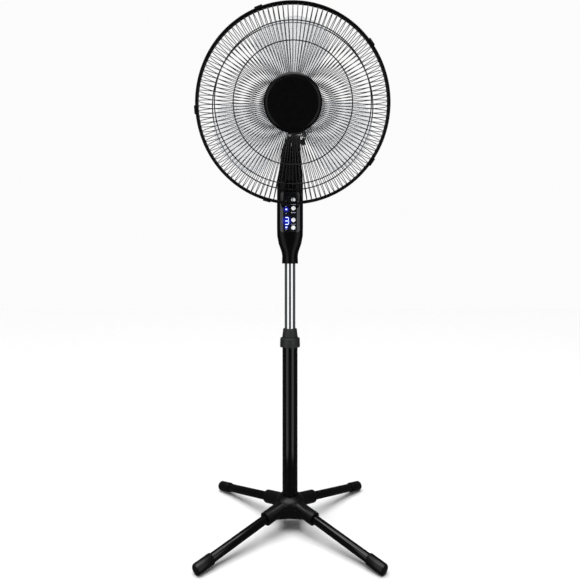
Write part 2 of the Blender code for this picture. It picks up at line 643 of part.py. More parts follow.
def make_motor_cover(tilt, motor):
    """The rear shell, with the socket for the spindle and the pod for the swing motor."""
    outer = [(COVER_RADIUS, COVER_FRONT), (COVER_RADIUS, 10 * MM), (44.5 * MM, -15 * MM),
             (41.5 * MM, -30 * MM), (35 * MM, -40 * MM), (25 * MM, -46 * MM),
             (12 * MM, COVER_BACK), (0, COVER_BACK)]
    inner = [(0, COVER_BACK + COVER_WALL), (12 * MM, COVER_BACK + COVER_WALL),
             (24.3 * MM, -44.1 * MM), (33.6 * MM, -38.6 * MM), (39.6 * MM, -29.2 * MM),
             (42.5 * MM, -14.6 * MM), (COVER_RADIUS - COVER_WALL, 10 * MM),
             (COVER_RADIUS - COVER_WALL, COVER_FRONT)]
    cover = turned("motor_cover", inner + outer, MOULDED, motor, steps=28)
    crank, _, _, _ = linkage_points()
    at_swing = (SWING_X, 0, 0)
    at_crank = (crank.x, crank.y, 0)
    boss = rod(12.5 * MM, TURNTABLE_TOP + GAP, SPINDLE_TOP + 1.6 * MM)
    boolean(cover, turned("cover_boss", boss, None, tilt, at_swing, steps=20), "UNION")
    pod = rod(14.8 * MM, 22 * MM, 44 * MM)
    boolean(cover, turned("cover_pod", pod, None, tilt, at_crank, steps=20), "UNION")
    socket = rod(SPINDLE_RADIUS + GAP, TURNTABLE_TOP - MM, SPINDLE_TOP + GAP)
    boolean(cover, turned("cover_socket", socket, None, tilt, at_swing, steps=20))
    pod_inside = rod(12.8 * MM, 24 * MM, 42 * MM)
    boolean(cover, turned("cover_pod_inside", pod_inside, None, tilt, at_crank, steps=20))
    shaft_hole = rod(3 * MM, 21 * MM, 25 * MM)
    boolean(cover, turned("cover_shaft_hole", shaft_hole, None, tilt, at_crank, steps=12))
    swing_motor = [(0, 41.7 * MM), (12.5 * MM, 41.7 * MM), (12.5 * MM, 24.3 * MM),
                   (2.6 * MM, 24.3 * MM), (2.6 * MM, 20.8 * MM), (0, 20.8 * MM)]
    turned("swing_motor", swing_motor, STEEL, tilt, at_crank, steps=24)


def make_motor(motor):
    seat = 10.3 * MM
    bore = SHAFT_RADIUS + GAP
    plate = [(BOSS_RADIUS, BOSS_FRONT), (BOSS_RADIUS, PLATE_FRONT), (COVER_RADIUS, PLATE_FRONT),
             (COVER_RADIUS, COVER_FRONT + GAP), (seat + 3 * MM, COVER_FRONT + GAP),
             (seat + 3 * MM, 40 * MM), (seat, 40 * MM), (seat, 57 * MM), (6 * MM, 57 * MM),
             (6 * MM, BOSS_FRONT)]
    turned("motor_front_plate", plate, MOULDED, motor, steps=28)
    turned("stator", ring(STATOR_RADIUS, ROTOR_RADIUS + 0.5 * MM, -2 * MM, 36 * MM),
           CORE_STEEL, motor, steps=24)
    turned("rotor", ring(ROTOR_RADIUS, bore, 0, 34 * MM), CORE_STEEL, motor, steps=24)
    turned("motor_shaft", rod(SHAFT_RADIUS, -16 * MM, 104 * MM), STEEL, motor, steps=16)
    turned("front_bearing", ring(10 * MM, bore, 42 * MM, 49 * MM), STEEL, motor, steps=20)
    turned("rear_bearing", ring(10 * MM, bore, -14 * MM, -8 * MM), STEEL, motor, steps=20)
    holder = [(29 * MM, -2.3 * MM), (29 * MM, -6 * MM), (15 * MM, -6 * MM),
              (15 * MM, -14 * MM), (seat, -14 * MM), (seat, -2.3 * MM)]
    turned("rear_bearing_plate", holder, STEEL, motor, steps=24)


REAR_GRILLE = [(34, 51.4), (44, 51.4), (75, 49.5), (110, 48), (145, 48.5), (173, 54),
               (179, 56.5), (193, 67), (200, 79), (200.6, 88.8), (200.6, 94.4)]
REAR_BANDS = [0, 5, 9]
FRONT_GRILLE = [(200.6, 97), (200.6, 102), (198, 113), (188, 121), (173.5, 127.3),
                (167.5, 129.3), (128, 139), (122, 140.2), (90, 145.5), (58, 149.7),
                (47, 149.7)]
FRONT_BANDS = [0, 4, 6, 9]


def grille(name, stations, bands, parent, finish):
    """A dish of spokes and ring bands: narrow faces along a meridian, then a thickness."""
    bm = bmesh.new()
    rows = []
    fill = 3
    for radius, forward in stations:
        half = math.asin(SPOKE_WIDTH / 2 / (radius * MM))
        row = []
        for spoke in range(SPOKE_COUNT):
            middle = 2 * math.pi * spoke / SPOKE_COUNT
            spread = 2 * math.pi / SPOKE_COUNT - 2 * half
            turns = [middle - half] + [middle + half + spread * i / fill for i in range(fill)]
            row += [bm.verts.new((radius * MM * math.cos(turn), radius * MM * math.sin(turn),
                                  forward * MM)) for turn in turns]
        rows.append(row)
    count = len(rows[0])
    for level, (inner, outer) in enumerate(zip(rows, rows[1:])):
        for i in range(count):
            if level in bands or i % (fill + 1) == 0:
                j = (i + 1) % count
                bm.faces.new((inner[i], outer[i], outer[j], inner[j]))
    used = [vert for vert in bm.verts if not vert.link_faces]
    bmesh.ops.delete(bm, geom=used, context="VERTS")
    item = place(name, mesh_from(bm, name), finish, parent)
    thick = item.modifiers.new("thickness", "SOLIDIFY")
    thick.thickness = WIRE_THICKNESS
    thick.offset = 0
    return item


def make_grilles(motor):
    grille("rear_grille", REAR_GRILLE, REAR_BANDS, motor, ENAMEL)
    grille("front_grille", FRONT_GRILLE, FRONT_BANDS, motor, ENAMEL)
    nut = ring(41 * MM, BOSS_RADIUS + GAP, 53 * MM, 59.5 * MM)
    turned("grille_nut", nut, MOULDED, motor)
    band = [(RIM_OUTER - 2 * MM, RIM_FRONT), (RIM_OUTER, RIM_FRONT - 2.5 * MM),
            (RIM_OUTER, RIM_BACK + 2.5 * MM), (RIM_OUTER - 2 * MM, RIM_BACK),
            (RIM_INNER, RIM_BACK), (RIM_INNER, RIM_FRONT)]
    turned("rim_band", band, MOULDED, motor, steps=48)
    badge = [(0, BADGE_FRONT), (50 * MM, BADGE_FRONT - MM), (53 * MM, BADGE_FRONT - 1.6 * MM),
             (57.5 * MM, BADGE_FRONT - 3.4 * MM), (BADGE_RADIUS, BADGE_FRONT - 6 * MM),
             (BADGE_RADIUS, BADGE_BACK), (0, BADGE_BACK)]
    turned("badge", badge, MOULDED, motor, steps=36)


def make_clips(motor):
    """Toggle clips over the rim: a back bar with a hook in front, hinged at its rear edge."""
    for number, angle in enumerate(CLIP_ANGLES, start=1):
        frame = empty(f"clip_frame_{number}", motor, rotation=(0, 0, math.radians(angle)))
        low, high = RIM_OUTER + GAP, RIM_OUTER + 3.3 * MM
        hook = RIM_FRONT + GAP
        outline = [(low, 86 * MM), (high, 86 * MM), (high, hook + 1.6 * MM),
                   (RIM_OUTER - 4.5 * MM, hook + 1.6 * MM), (RIM_OUTER - 4.5 * MM, hook),
                   (low, hook)]
        clip = prism(f"rim_clip_{number}", outline, -CLIP_WIDTH / 2, CLIP_WIDTH / 2, "Y",
                     MOULDED, frame)
        bevel(clip, 0.4 * MM)


def blade_edges(reach):
    """Leading and trailing angles of a blade, from its own tip line, at a share of its span."""
    width = 40 - 9 * reach
    if reach > 0.55:
        round_off = (reach - 0.55) / 0.45
        width *= math.sqrt(max(1 - round_off ** 2.2, 0.03))
    lean = 5 * (1 - reach) - 3 * math.sin(math.pi * reach)
    return lean - width, lean + width


def make_blades(motor):
    """Three twisted paddles, solidified, joined to a cup-shaped hub."""
    bm = bmesh.new()
    spans, chords = 8, 6
    root = BLADE_HUB_RADIUS - 1.5 * MM
    for tip in BLADE_ANGLES:
        rows = []
        for i in range(spans + 1):
            reach = i / spans
            radius = root + (BLADE_TIP - root) * reach
            start, end = blade_edges(reach)
            row = []
            for j in range(chords + 1):
                share = j / chords
                turn = math.radians(tip + start + (end - start) * share)
                pitch = (13 - 5 * reach) * MM * (2 * share - 1)
                camber = 4 * MM * (1 - (2 * share - 1) ** 2) * (1 - 0.5 * reach)
                row.append(bm.verts.new((radius * math.cos(turn), radius * math.sin(turn),
                                         BLADE_PLANE - 2 * MM - pitch + camber)))
            rows.append(row)
        for inner, outer in zip(rows, rows[1:]):
            for j in range(chords):
                bm.faces.new((inner[j], outer[j], outer[j + 1], inner[j + 1]))
    paddles = place("paddles", mesh_from(bm, "paddles"), None, motor)
    thick = paddles.modifiers.new("thickness", "SOLIDIFY")
    thick.thickness = BLADE_THICKNESS
    thick.offset = 0
    bore = SHAFT_RADIUS + GAP
    wall = 2.5 * MM
    cup = [(bore, BLADE_FRONT), (BLADE_HUB_RADIUS - 3 * MM, BLADE_FRONT),
           (BLADE_HUB_RADIUS, BLADE_FRONT - 3 * MM), (BLADE_HUB_RADIUS, BLADE_BACK),
           (BLADE_HUB_RADIUS - wall, BLADE_BACK),
           (BLADE_HUB_RADIUS - wall, BLADE_FRONT - wall - MM), (10 * MM, BLADE_FRONT - wall),
           (10 * MM, BLADE_BACK + MM), (bore, BLADE_BACK + MM)]
    blade = turned("fan_blade", cup, BLADE_PLASTIC, motor, steps=36)
    boolean(blade, paddles, "UNION")
    nut = [(0, 112 * MM), (9 * MM, 111 * MM), (14 * MM, 107 * MM), (16 * MM, 101 * MM),
           (16 * MM, BLADE_FRONT + GAP), (bore, BLADE_FRONT + GAP), (bore, 104.3 * MM),
           (0, 104.3 * MM)]
    turned("spinner_nut", nut, MOULDED, motor, steps=24)


def make_head():
    tilt = empty("tilt_frame", None, (0, 0, PIVOT_HEIGHT), (HEAD_TILT, 0, 0))
    motor = empty("motor_frame", tilt, (MOTOR_X, 0, MOTOR_HEIGHT), (math.pi / 2, 0, 0))
    make_bracket(tilt)
    make_crank_and_link(tilt)
    make_motor_cover(tilt, motor)
    make_motor(motor)
    make_grilles(motor)
    make_clips(motor)
    make_blades(motor)


make_base()
make_poles()
make_neck_shells()
make_neck_inside()
make_yoke()
make_tilt_fasteners()
make_head()
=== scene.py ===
"""Pedestal fan: the finished look of each piece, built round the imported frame.

Lengths are in metres, and MM turns millimetres into metres. Three frames are used:

    leg frame      X runs out and down along a leg
    TILT frame     origin on the tilt bolt, X along the bolt, turned nose down
    MOTOR frame    origin on the motor axis, Z forwards through the badge, Y up
"""
import json
import math

import bmesh
import bpy
from bpy.props import FloatProperty, FloatVectorProperty, IntProperty, PointerProperty
from mathutils import Matrix, Vector


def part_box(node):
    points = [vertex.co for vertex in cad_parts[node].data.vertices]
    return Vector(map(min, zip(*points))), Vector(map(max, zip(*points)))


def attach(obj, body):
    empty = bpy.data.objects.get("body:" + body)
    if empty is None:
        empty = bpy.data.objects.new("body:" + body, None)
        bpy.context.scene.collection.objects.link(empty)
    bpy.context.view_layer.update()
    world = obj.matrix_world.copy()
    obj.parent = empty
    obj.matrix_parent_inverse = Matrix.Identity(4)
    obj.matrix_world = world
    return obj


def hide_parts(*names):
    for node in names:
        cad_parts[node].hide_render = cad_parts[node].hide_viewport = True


bl_info = {
    "name": "Pedestal Fan",
    "version": (1, 0, 0),
    "blender": (4, 5, 0),
    "location": "3D View > Sidebar > Fan",
    "description": "Builds the finished pieces of a pedestal fan round its packed frame",
    "category": "Add Mesh",
}

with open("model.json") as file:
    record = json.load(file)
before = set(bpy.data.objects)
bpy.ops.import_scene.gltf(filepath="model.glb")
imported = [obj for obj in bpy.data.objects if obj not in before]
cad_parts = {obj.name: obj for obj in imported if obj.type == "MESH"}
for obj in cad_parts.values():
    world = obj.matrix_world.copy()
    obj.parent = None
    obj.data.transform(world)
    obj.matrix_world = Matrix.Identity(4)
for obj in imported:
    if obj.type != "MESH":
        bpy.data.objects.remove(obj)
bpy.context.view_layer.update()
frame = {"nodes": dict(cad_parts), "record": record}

MM = 0.001
GAP = 0.3 * MM

# The three frames.
LEG_ANGLES = {"front_right": -45, "back_right": 45, "back_left": 135, "front_left": 225}
LEG_SLOPE = math.radians(10)
LEG_AXIS_HEIGHT = 59 * MM
PIVOT_HEIGHT = 915 * MM
TILT = Matrix.Translation((0, 0, PIVOT_HEIGHT)) @ Matrix.Rotation(math.radians(11), 4, "X")
MOTOR_TURN = Matrix.Rotation(math.radians(90), 4, "X")
MOTOR = TILT @ Matrix.Translation((6 * MM, 0, 69 * MM)) @ MOTOR_TURN

# Poles, legs and the twist lock.
LEG_RADIUS, LEG_WALL = 10 * MM, 1.2 * MM
LEG_START, LEG_END = 46 * MM, 270.2 * MM
# Sleeve foot: radius and distance along the leg, in mm. Its tip clears the floor by 0.2 mm.
FOOT_PROFILE = [(0, 273), (8, 273), (10.8, 272), (12.2, 269.5), (12.2, 233), (11.6, 231.6),
                (10.3, 231.6), (10.3, 270.6), (0, 270.6)]
LOWER_POLE_RADIUS, LOWER_POLE_WALL = 18 * MM, 1.8 * MM
UPPER_POLE_RADIUS, UPPER_POLE_WALL = 12.75 * MM, 1.0 * MM
NUT_RIB_COUNT = 28

# Neck: height, left edge, right edge, half depth and squareness of each cross section, in mm.
NECK_SECTIONS = [
    (625, -19.2, 19.2, 19.2, 2.0),
    (643, -18.6, 18.6, 18.6, 2.0),
    (653, -20.3, 20.3, 19.0, 2.1),
    (662, -23.5, 23.5, 19.4, 2.3),
    (672, -27.0, 27.0, 19.9, 2.5),
    (691, -30.5, 30.5, 20.7, 2.8),
    (710, -31.0, 31.0, 21.0, 3.0),
    (767, -31.0, 31.0, 21.0, 3.0),
    (815, -30.5, 31.0, 21.0, 2.6),
    (859, -24.8, 27.5, 19.0, 2.3),
    (893, -20.2, 25.0, 16.5, 2.3),
]
NECK_WALL = 2.2 * MM
FLUTES_LOW, FLUTES_HIGH = 817 * MM, 890 * MM
LENS_LOW, LENS_HIGH = 698 * MM, 793 * MM
LENS_WIDTH, LENS_CORNER, LENS_THICKNESS = 46 * MM, 7 * MM, 1.6 * MM
BUTTON_X, BUTTON_RADIUS = 7.9 * MM, 5 * MM
BUTTON_FRONT, BUTTON_BACK = -22.2 * MM, -16.5 * MM
BUTTON_HEIGHTS = {"power": 774, "swing": 754.5, "timer": 727, "speed": 709}
DIGIT_CENTRE = (-7.5 * MM, 724.5 * MM)
LAMPS = [(-8.6 * MM, 751.6 * MM), (-8.6 * MM, 709.5 * MM)]

# Guard: radius and distance forwards of points along one wire, in mm.
REAR_WIRE = [(40, 51.4), (75, 49.5), (110, 48), (145, 48.5), (173, 54), (193.5, 67),
             (201.5, 79), (204, 88.8), (205, 94.4)]
FRONT_WIRE = [(205, 97), (203, 103), (199, 113), (188, 121), (173.5, 127.3),
              (128, 139), (90, 145.5), (52, 149.7)]
FRONT_RINGS = [(205.3, 99.2, 1.6), (164.5, 129, 1.2), (124, 138.6, 1.2)]
REAR_RINGS = [(205.3, 93.6, 1.6), (179.5, 57.2, 1.3)]
CLIP_ANGLES, CLIP_WIDTH = [38, 110, 182, 254, 326], 17 * MM

# Blades.
BLADE_ANGLES = [92, 212, 332]
BLADE_TIP, BLADE_HUB_RADIUS = 185 * MM, 40 * MM
BLADE_BACK, BLADE_FRONT, BLADE_PLANE = 62 * MM, 96 * MM, 82 * MM
BLADE_THICKNESS = 2.0 * MM
# Share of a blade's span from which its tip is rounded.
ROUND_FROM = 0.72

MATERIALS = {}
# The record's slots, and the material that each shows.
SLOT_MATERIALS = {
    "black_enamel": "stoved_enamel",
    "black_abs": "moulded_abs",
    "charcoal_nylon": "moulded_nylon",
    "chrome_tube": "chrome_plate",
    "zinc_steel": "zinc_plate",
    "lamination_steel": "lamination_steel",
    "smoked_acrylic": "smoked_acrylic",
    "white_abs": "pale_abs",
    "display_blue": "display_plastic",
    "board_laminate": "board_laminate",
    "frosted_san": "frosted_san",
    "black_rubber": "moulded_rubber",
}


# --------------------------------------------------------------------- small helpers


def linear(code):
    """An sRGB hex colour as linear red, green and blue."""
    parts = [int(code[i:i + 2], 16) / 255 for i in (1, 3, 5)]
    return [part / 12.92 if part <= 0.04045 else ((part + 0.055) / 1.055) ** 2.4
            for part in parts]


def colour(name):
    """A colour that the user can change, with full alpha."""
    return (*getattr(bpy.context.scene.fan_colours, name), 1.0)


def add_node(tree, kind, inputs=None, **settings):
    """Add a node. A socket among the inputs is linked, and any other value is set."""
    made = tree.nodes.new(kind)
    for name, value in settings.items():
        setattr(made, name, value)
    for name, value in (inputs or {}).items():
        if isinstance(value, bpy.types.NodeSocket):
            tree.links.new(value, made.inputs[name])
        else:
            made.inputs[name].default_value = value
    return made


def smooth_path(points, steps):
    """A rounder path through the same points."""
    ends = [points[0], *points, points[-1]]
    path = []
    for i in range(len(points) - 1):
        before, start, end, after = [Vector(point) for point in ends[i:i + 4]]
        for k in range(steps):
            t = k / steps
            path.append(0.5 * (2 * start + (end - before) * t
                               + (2 * before - 5 * start + 4 * end - after) * t * t
                               + (3 * start - before - 3 * end + after) * t ** 3))
    path.append(Vector(points[-1]))
    return path


def arc(centre, radius, start, end, steps):
    """Points of an arc, angles in degrees."""
    turns = [math.radians(start + (end - start) * i / steps) for i in range(steps + 1)]
    return [(centre[0] + radius * math.cos(turn), centre[1] + radius * math.sin(turn))
            for turn in turns]


def rounded_rectangle(centre, width, height, corner, steps=8):
    """Points of a rectangle with round corners, anticlockwise."""
    points = []
    for side_u, side_v, start in ((1, 1, 0), (-1, 1, 90), (-1, -1, 180), (1, -1, 270)):
        middle = (centre[0] + side_u * (width / 2 - corner),
                  centre[1] + side_v * (height / 2 - corner))
        points += arc(middle, corner, start, start + 90, steps)
    return points


def eased(profile, radius, steps=4):
    """A closed profile with its corners rounded, as a mould leaves them."""
    count = len(profile)
    points = []
    for i in range(count):
        before, corner, after = [Vector(profile[(i + k) % count]) for k in (-1, 0, 1)]
        back, forth = before - corner, after - corner
        reach = min(radius, back.length * 0.45, forth.length * 0.45)
        start = corner + back.normalized() * reach
        end = corner + forth.normalized() * reach
        if corner.x <= 0 or reach <= 0:
            points.append(corner)
            continue
        for k in range(steps + 1):
            t = k / steps
            points.append(start * (1 - t) ** 2 + corner * 2 * t * (1 - t) + end * t * t)
    return points


def lathe(profile, matrix=None, steps=64, lobes=0, depth=0.0):
    """Turn a profile of (radius, height) about Z. Lobes press grooves into its outer side."""
    bm = bmesh.new()
    widest = max(point[0] for point in profile)
    rows = []
    for radius, height in profile:
        if radius <= 1e-9:
            rows.append([bm.verts.new((0, 0, height))] * steps)
            continue
        row = []
        for i in range(steps):
            turn = 2 * math.pi * i / steps
            cut = depth * (0.5 - 0.5 * math.cos(lobes * turn)) if radius > 0.9 * widest else 0
            row.append(bm.verts.new(((radius - cut) * math.cos(turn),
                                     (radius - cut) * math.sin(turn), height)))
        rows.append(row)
    closed = profile[0][0] > 1e-9
    pairs = list(zip(rows, rows[1:])) + ([(rows[-1], rows[0])] if closed else [])
    for first, second in pairs:
        for i in range(steps):
            j = (i + 1) % steps
            corners = []
            for vert in (first[i], first[j], second[j], second[i]):
                if vert not in corners:
                    corners.append(vert)
            if len(corners) > 2:
                bm.faces.new(corners)
    if matrix is not None:
        fresh = {vert for row in rows for vert in row}
        bmesh.ops.transform(bm, matrix=matrix, verts=list(fresh))
    return bm


def loft(rings):
    """Skin closed rings that hold the same number of points, and cap both ends."""
    bm = bmesh.new()
    rows = [[bm.verts.new(point) for point in section] for section in rings]
    count = len(rows[0])
    for lower, upper in zip(rows, rows[1:]):
        for i in range(count):
            j = (i + 1) % count
            bm.faces.new((lower[i], lower[j], upper[j], upper[i]))
    bm.faces.new(rows[0])
    bm.faces.new(rows[-1])
    return bm


def plate(outline, front, back):
    """A thin closed plate: front and back give the two points over each outline point."""
    bm = bmesh.new()
    near = [bm.verts.new(front(u, v)) for u, v in outline]
    far = [bm.verts.new(back(u, v)) for u, v in outline]
    bm.faces.new(near)
    bm.faces.new(far)
    for i in range(len(near)):
        j = (i + 1) % len(near)
        bm.faces.new((near[i], near[j], far[j], far[i]))
    return bm


def finish_mesh(bm, name, angle=32):
    """Point the faces outwards and shade smooth, with creases sharper than an angle."""
    bmesh.ops.recalc_face_normals(bm, faces=bm.faces)
    mesh = bpy.data.meshes.new(name)
    bm.to_mesh(mesh)
    bm.free()
    mesh.shade_smooth()
    mesh.set_sharp_from_angle(angle=math.radians(angle))
    return mesh


def add_piece(name, bm, material, body, replaced=(), bevel=0.0, angle=32):
    """Make a finished piece of a mesh that is already in place, and tie it to its body."""
    item = bpy.data.objects.new(name, finish_mesh(bm, name, angle))
    item.data.materials.append(MATERIALS[material])
    bpy.context.scene.collection.objects.link(item)
    if bevel:
        edge = item.modifiers.new("edges", "BEVEL")
        edge.width = bevel
        edge.segments = 2
        edge.limit_method = "ANGLE"
        edge.angle_limit = math.radians(35)
    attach(item, body)
    if replaced:
        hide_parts(*replaced)
    return item


def fine_copy(node, body, material, bevel=0.35 * MM, angle=35):
    """Stand for a CAD node by its own shape, with smooth sides and softened edges."""
    bm = bmesh.new()
    bm.from_mesh(frame["nodes"][node].data)
    bmesh.ops.remove_doubles(bm, verts=bm.verts, dist=0.002 * MM)
    bmesh.ops.dissolve_limit(bm, angle_limit=math.radians(0.5), verts=bm.verts,
                             edges=bm.edges)
    return add_piece(f"{node}_fine", bm, material, body, (node,), bevel, angle)


def carved(bm, tools, operations):
    """A mesh with others cut out of it, joined to it or kept in common with it."""
    names = ("carved",) + tuple(f"tool_{i}" for i in range(len(tools)))
    items = []
    for name, source in zip(names, [bm, *tools]):
        item = bpy.data.objects.new(name, finish_mesh(source, name))
        bpy.context.scene.collection.objects.link(item)
        items.append(item)
    for tool, operation in zip(items[1:], operations):
        step = items[0].modifiers.new("carve", "BOOLEAN")
        step.operation = operation
        step.solver = "EXACT"
        step.object = tool
    bpy.context.view_layer.update()
    graph = bpy.context.evaluated_depsgraph_get()
    mesh = bpy.data.meshes.new_from_object(items[0].evaluated_get(graph))
    result = bmesh.new()
    result.from_mesh(mesh)
    bpy.data.meshes.remove(mesh)
    for item in items:
        bpy.data.objects.remove(item, do_unlink=True)
    return result


# ------------------------------------------------------------------------- materials


def start_material(name, base, roughness, **inputs):
    """A Principled material. Underscores in an input's name stand for spaces."""
    made = bpy.data.materials.new(name)
    made.use_nodes = True
    tree = made.node_tree
    shader = tree.nodes["Principled BSDF"]
    shader.inputs["Base Color"].default_value = base
    shader.inputs["Roughness"].default_value = roughness
    for key, value in inputs.items():
        shader.inputs[key.replace("_", " ")].default_value = value
    MATERIALS[name] = made
    return tree, shader


def add_grain(tree, shader, size, height, roughness, spread, detail=2.0, stretch=None):
    """Surface texture of a real size: bumps of a height, and roughness that varies."""
    place = add_node(tree, "ShaderNodeTexCoord").outputs["Object"]
    if stretch:
        place = add_node(tree, "ShaderNodeMapping",
                         {"Vector": place, "Scale": stretch}).outputs["Vector"]
    noise = add_node(tree, "ShaderNodeTexNoise",
                     {"Vector": place, "Scale": 1 / size, "Detail": detail})
    bump = add_node(tree, "ShaderNodeBump",
                    {"Height": noise.outputs["Fac"], "Distance": height, "Strength": 0.6})
    tree.links.new(bump.outputs["Normal"], shader.inputs["Normal"])
    broad = add_node(tree, "ShaderNodeTexNoise", {"Vector": place, "Scale": 0.12 / size})
    span = add_node(tree, "ShaderNodeMapRange",
                    {"Value": broad.outputs["Fac"], "From Min": 0.3, "From Max": 0.7,
                     "To Min": roughness - spread, "To Max": roughness + spread})
    tree.links.new(span.outputs["Result"], shader.inputs["Roughness"])


def make_plastics():
    """Finishes of the moulded pieces."""
    # Moulded ABS, spark-eroded tool: fine even grain that breaks up the highlights. The real
    # grain is about 0.1 mm, drawn at 0.7 mm so that it shows.
    tree, shader = start_material("moulded_abs", colour("plastic"), 0.36, IOR=1.53,
                                  Specular_IOR_Level=0.25)
    add_grain(tree, shader, 0.7 * MM, 0.05 * MM, 0.36, 0.06)
    # Polished ABS of the badge and the neck: smoother than the rest, wider highlights.
    tree, shader = start_material("polished_abs", colour("plastic"), 0.24, IOR=1.53,
                                  Specular_IOR_Level=0.14)
    add_grain(tree, shader, 1.6 * MM, 0.02 * MM, 0.24, 0.05)
    # Glass-filled nylon of the twist lock: dull, slightly grey, with a drawn-out flow.
    tree, shader = start_material("moulded_nylon", colour("collar"), 0.55, IOR=1.53)
    add_grain(tree, shader, 0.9 * MM, 0.06 * MM, 0.55, 0.08)
    # Opaque ABS of the buttons: soft sheen, slightly blue white.
    tree, shader = start_material("pale_abs", (*linear("#fbfcff"), 1), 0.3, IOR=1.53)
    add_grain(tree, shader, 0.8 * MM, 0.02 * MM, 0.3, 0.05)
    # Frosted SAN of the blades: pale and see-through, with a slightly uneven surface.
    tree, shader = start_material("frosted_san", colour("blade"), 0.3, IOR=1.57, Alpha=0.27)
    add_grain(tree, shader, 2.2 * MM, 0.03 * MM, 0.3, 0.08)
    # Moulded rubber of the inlet: dull and dark grey.
    tree, shader = start_material("moulded_rubber", (*linear("#171717"), 1), 0.75, IOR=1.52)
    add_grain(tree, shader, 0.8 * MM, 0.08 * MM, 0.75, 0.08)


def make_metals():
    """Finishes of the tubes, the wires and the small steel fittings."""
    # Stoved enamel on steel tube: deep black, glossy, with a faint orange peel of 2 mm.
    tree, shader = start_material("stoved_enamel", colour("enamel"), 0.1, IOR=1.52,
                                  Specular_IOR_Level=0.35)
    add_grain(tree, shader, 2.0 * MM, 0.004 * MM, 0.1, 0.02)
    # Dipped wire: the same black, rounder and softer where the coat has run.
    tree, shader = start_material("dipped_wire", colour("enamel"), 0.3, IOR=1.52)
    add_grain(tree, shader, 1.2 * MM, 0.04 * MM, 0.3, 0.06)
    # Chrome plate on drawn tube: mirror bright, with draw lines along the tube.
    tree, shader = start_material("chrome_plate", (*linear("#e3e5e7"), 1), 0.07, Metallic=1.0)
    add_grain(tree, shader, 1.0 * MM, 0.004 * MM, 0.07, 0.03, stretch=(1, 1, 0.03))
    # Zinc-plated steel of the small fittings: greyish, cloudy.
    tree, shader = start_material("zinc_plate", (*linear("#b9bcc0"), 1), 0.35, Metallic=1.0)
    add_grain(tree, shader, 1.5 * MM, 0.03 * MM, 0.35, 0.1)
    # Stacked laminations: sheets of 0.5 mm seen edge on.
    tree, shader = start_material("lamination_steel", (*linear("#7c7974"), 1), 0.5,
                                  Metallic=0.9)
    add_grain(tree, shader, 0.5 * MM, 0.05 * MM, 0.5, 0.1)


def make_panel_finishes():
    """Finishes of the window, the lit figure, the signs and what lies behind them."""
    # Smoked acrylic window: near black and mirror smooth. Round each lit figure the display's
    # light is painted on the window as an emission glow, which falls off within about 9 mm.
    tree, shader = start_material("smoked_acrylic", (*linear("#07080f"), 1), 0.07, IOR=1.49,
                                  Coat_Weight=0.4, Coat_Roughness=0.03)
    place = add_node(tree, "ShaderNodeTexCoord").outputs["Object"]
    painted_glow = None
    for x, z, reach in [(*DIGIT_CENTRE, 15 * MM), (*LAMPS[0], 9 * MM), (*LAMPS[1], 7 * MM)]:
        gap = add_node(tree, "ShaderNodeVectorMath", {0: place, 1: (x, -21 * MM, z)},
                       operation="DISTANCE")
        fade = add_node(tree, "ShaderNodeMapRange",
                        {"Value": gap.outputs["Value"], "From Min": 0.0, "From Max": reach,
                         "To Min": 1.0, "To Max": 0.0}, interpolation_type="SMOOTHSTEP")
        if painted_glow is None:
            painted_glow = fade.outputs["Result"]
        else:
            painted_glow = add_node(tree, "ShaderNodeMath", {0: painted_glow, 1: fade.outputs["Result"]},
                             operation="ADD").outputs["Value"]
    # Painted glow: the summed fall-off, scaled, sets how strongly the window itself emits
    # light.
    painted_glow_strength = add_node(tree, "ShaderNodeMath", {0: painted_glow, 1: 0.55}, operation="MULTIPLY")
    shader.inputs["Emission Color"].default_value = colour("glow")
    tree.links.new(painted_glow_strength.outputs["Value"], shader.inputs["Emission Strength"])
    # Light pipes of the figure and the lamps: nearly white, with a blue glow of their own.
    tree, shader = start_material("lit_segment", (*linear("#dfe6ff"), 1), 0.3, IOR=1.49)
    shader.inputs["Emission Color"].default_value = (*linear("#8fa4ff"), 1)
    shader.inputs["Emission Strength"].default_value = 3.0
    add_grain(tree, shader, 0.6 * MM, 0.01 * MM, 0.3, 0.05)
    # Screen-printed ink: thin and dull, pale grey.
    tree, shader = start_material("printed_ink", (*linear("#b9bfd0"), 1), 0.6)
    add_grain(tree, shader, 0.3 * MM, 0.01 * MM, 0.6, 0.08)
    # Turned and lacquered trim round the button strip.
    tree, shader = start_material("lacquered_trim", (*linear("#2b2d38"), 1), 0.3,
                                  Metallic=0.5)
    add_grain(tree, shader, 0.5 * MM, 0.01 * MM, 0.28, 0.05)
    # Tinted case of the display module: smooth and blue.
    tree, shader = start_material("display_plastic", (*linear("#2a35b4"), 1), 0.3, IOR=1.49)
    add_grain(tree, shader, 1.0 * MM, 0.02 * MM, 0.3, 0.05)
    # Glass laminate of the circuit board under green lacquer: the weave barely shows.
    tree, shader = start_material("board_laminate", (*linear("#2c7a46"), 1), 0.5, IOR=1.55)
    add_grain(tree, shader, 0.4 * MM, 0.03 * MM, 0.5, 0.08)


# ------------------------------------------------------------------------------ neck


def neck_section(height, inset=0.0):
    """Centre, half width, half depth and squareness of the neck at a height."""
    rows = [(z * MM, left * MM, right * MM, depth * MM, power)
            for z, left, right, depth, power in NECK_SECTIONS]
    height = min(max(height, rows[0][0]), rows[-1][0])
    for low, high in zip(rows, rows[1:]):
        if height <= high[0]:
            share = (height - low[0]) / (high[0] - low[0])
            _, left, right, depth, power = [a + (b - a) * share for a, b in zip(low, high)]
            return (left + right) / 2, (right - left) / 2 - inset, depth - inset, power
    raise ValueError("no neck section at this height")


def flute(turn, height, sizes):
    """How deep a groove cuts in: grooves run up the neck and fade out at both ends."""
    if not FLUTES_LOW < height < FLUTES_HIGH:
        return 0.0
    near_end = min(height - FLUTES_LOW, FLUTES_HIGH - height)
    fade = min(near_end / (4 * MM), 1.0)
    wave = 0.5 - 0.5 * math.cos(sizes.flute_count * turn)
    return sizes.flute_depth * fade * wave ** 0.6


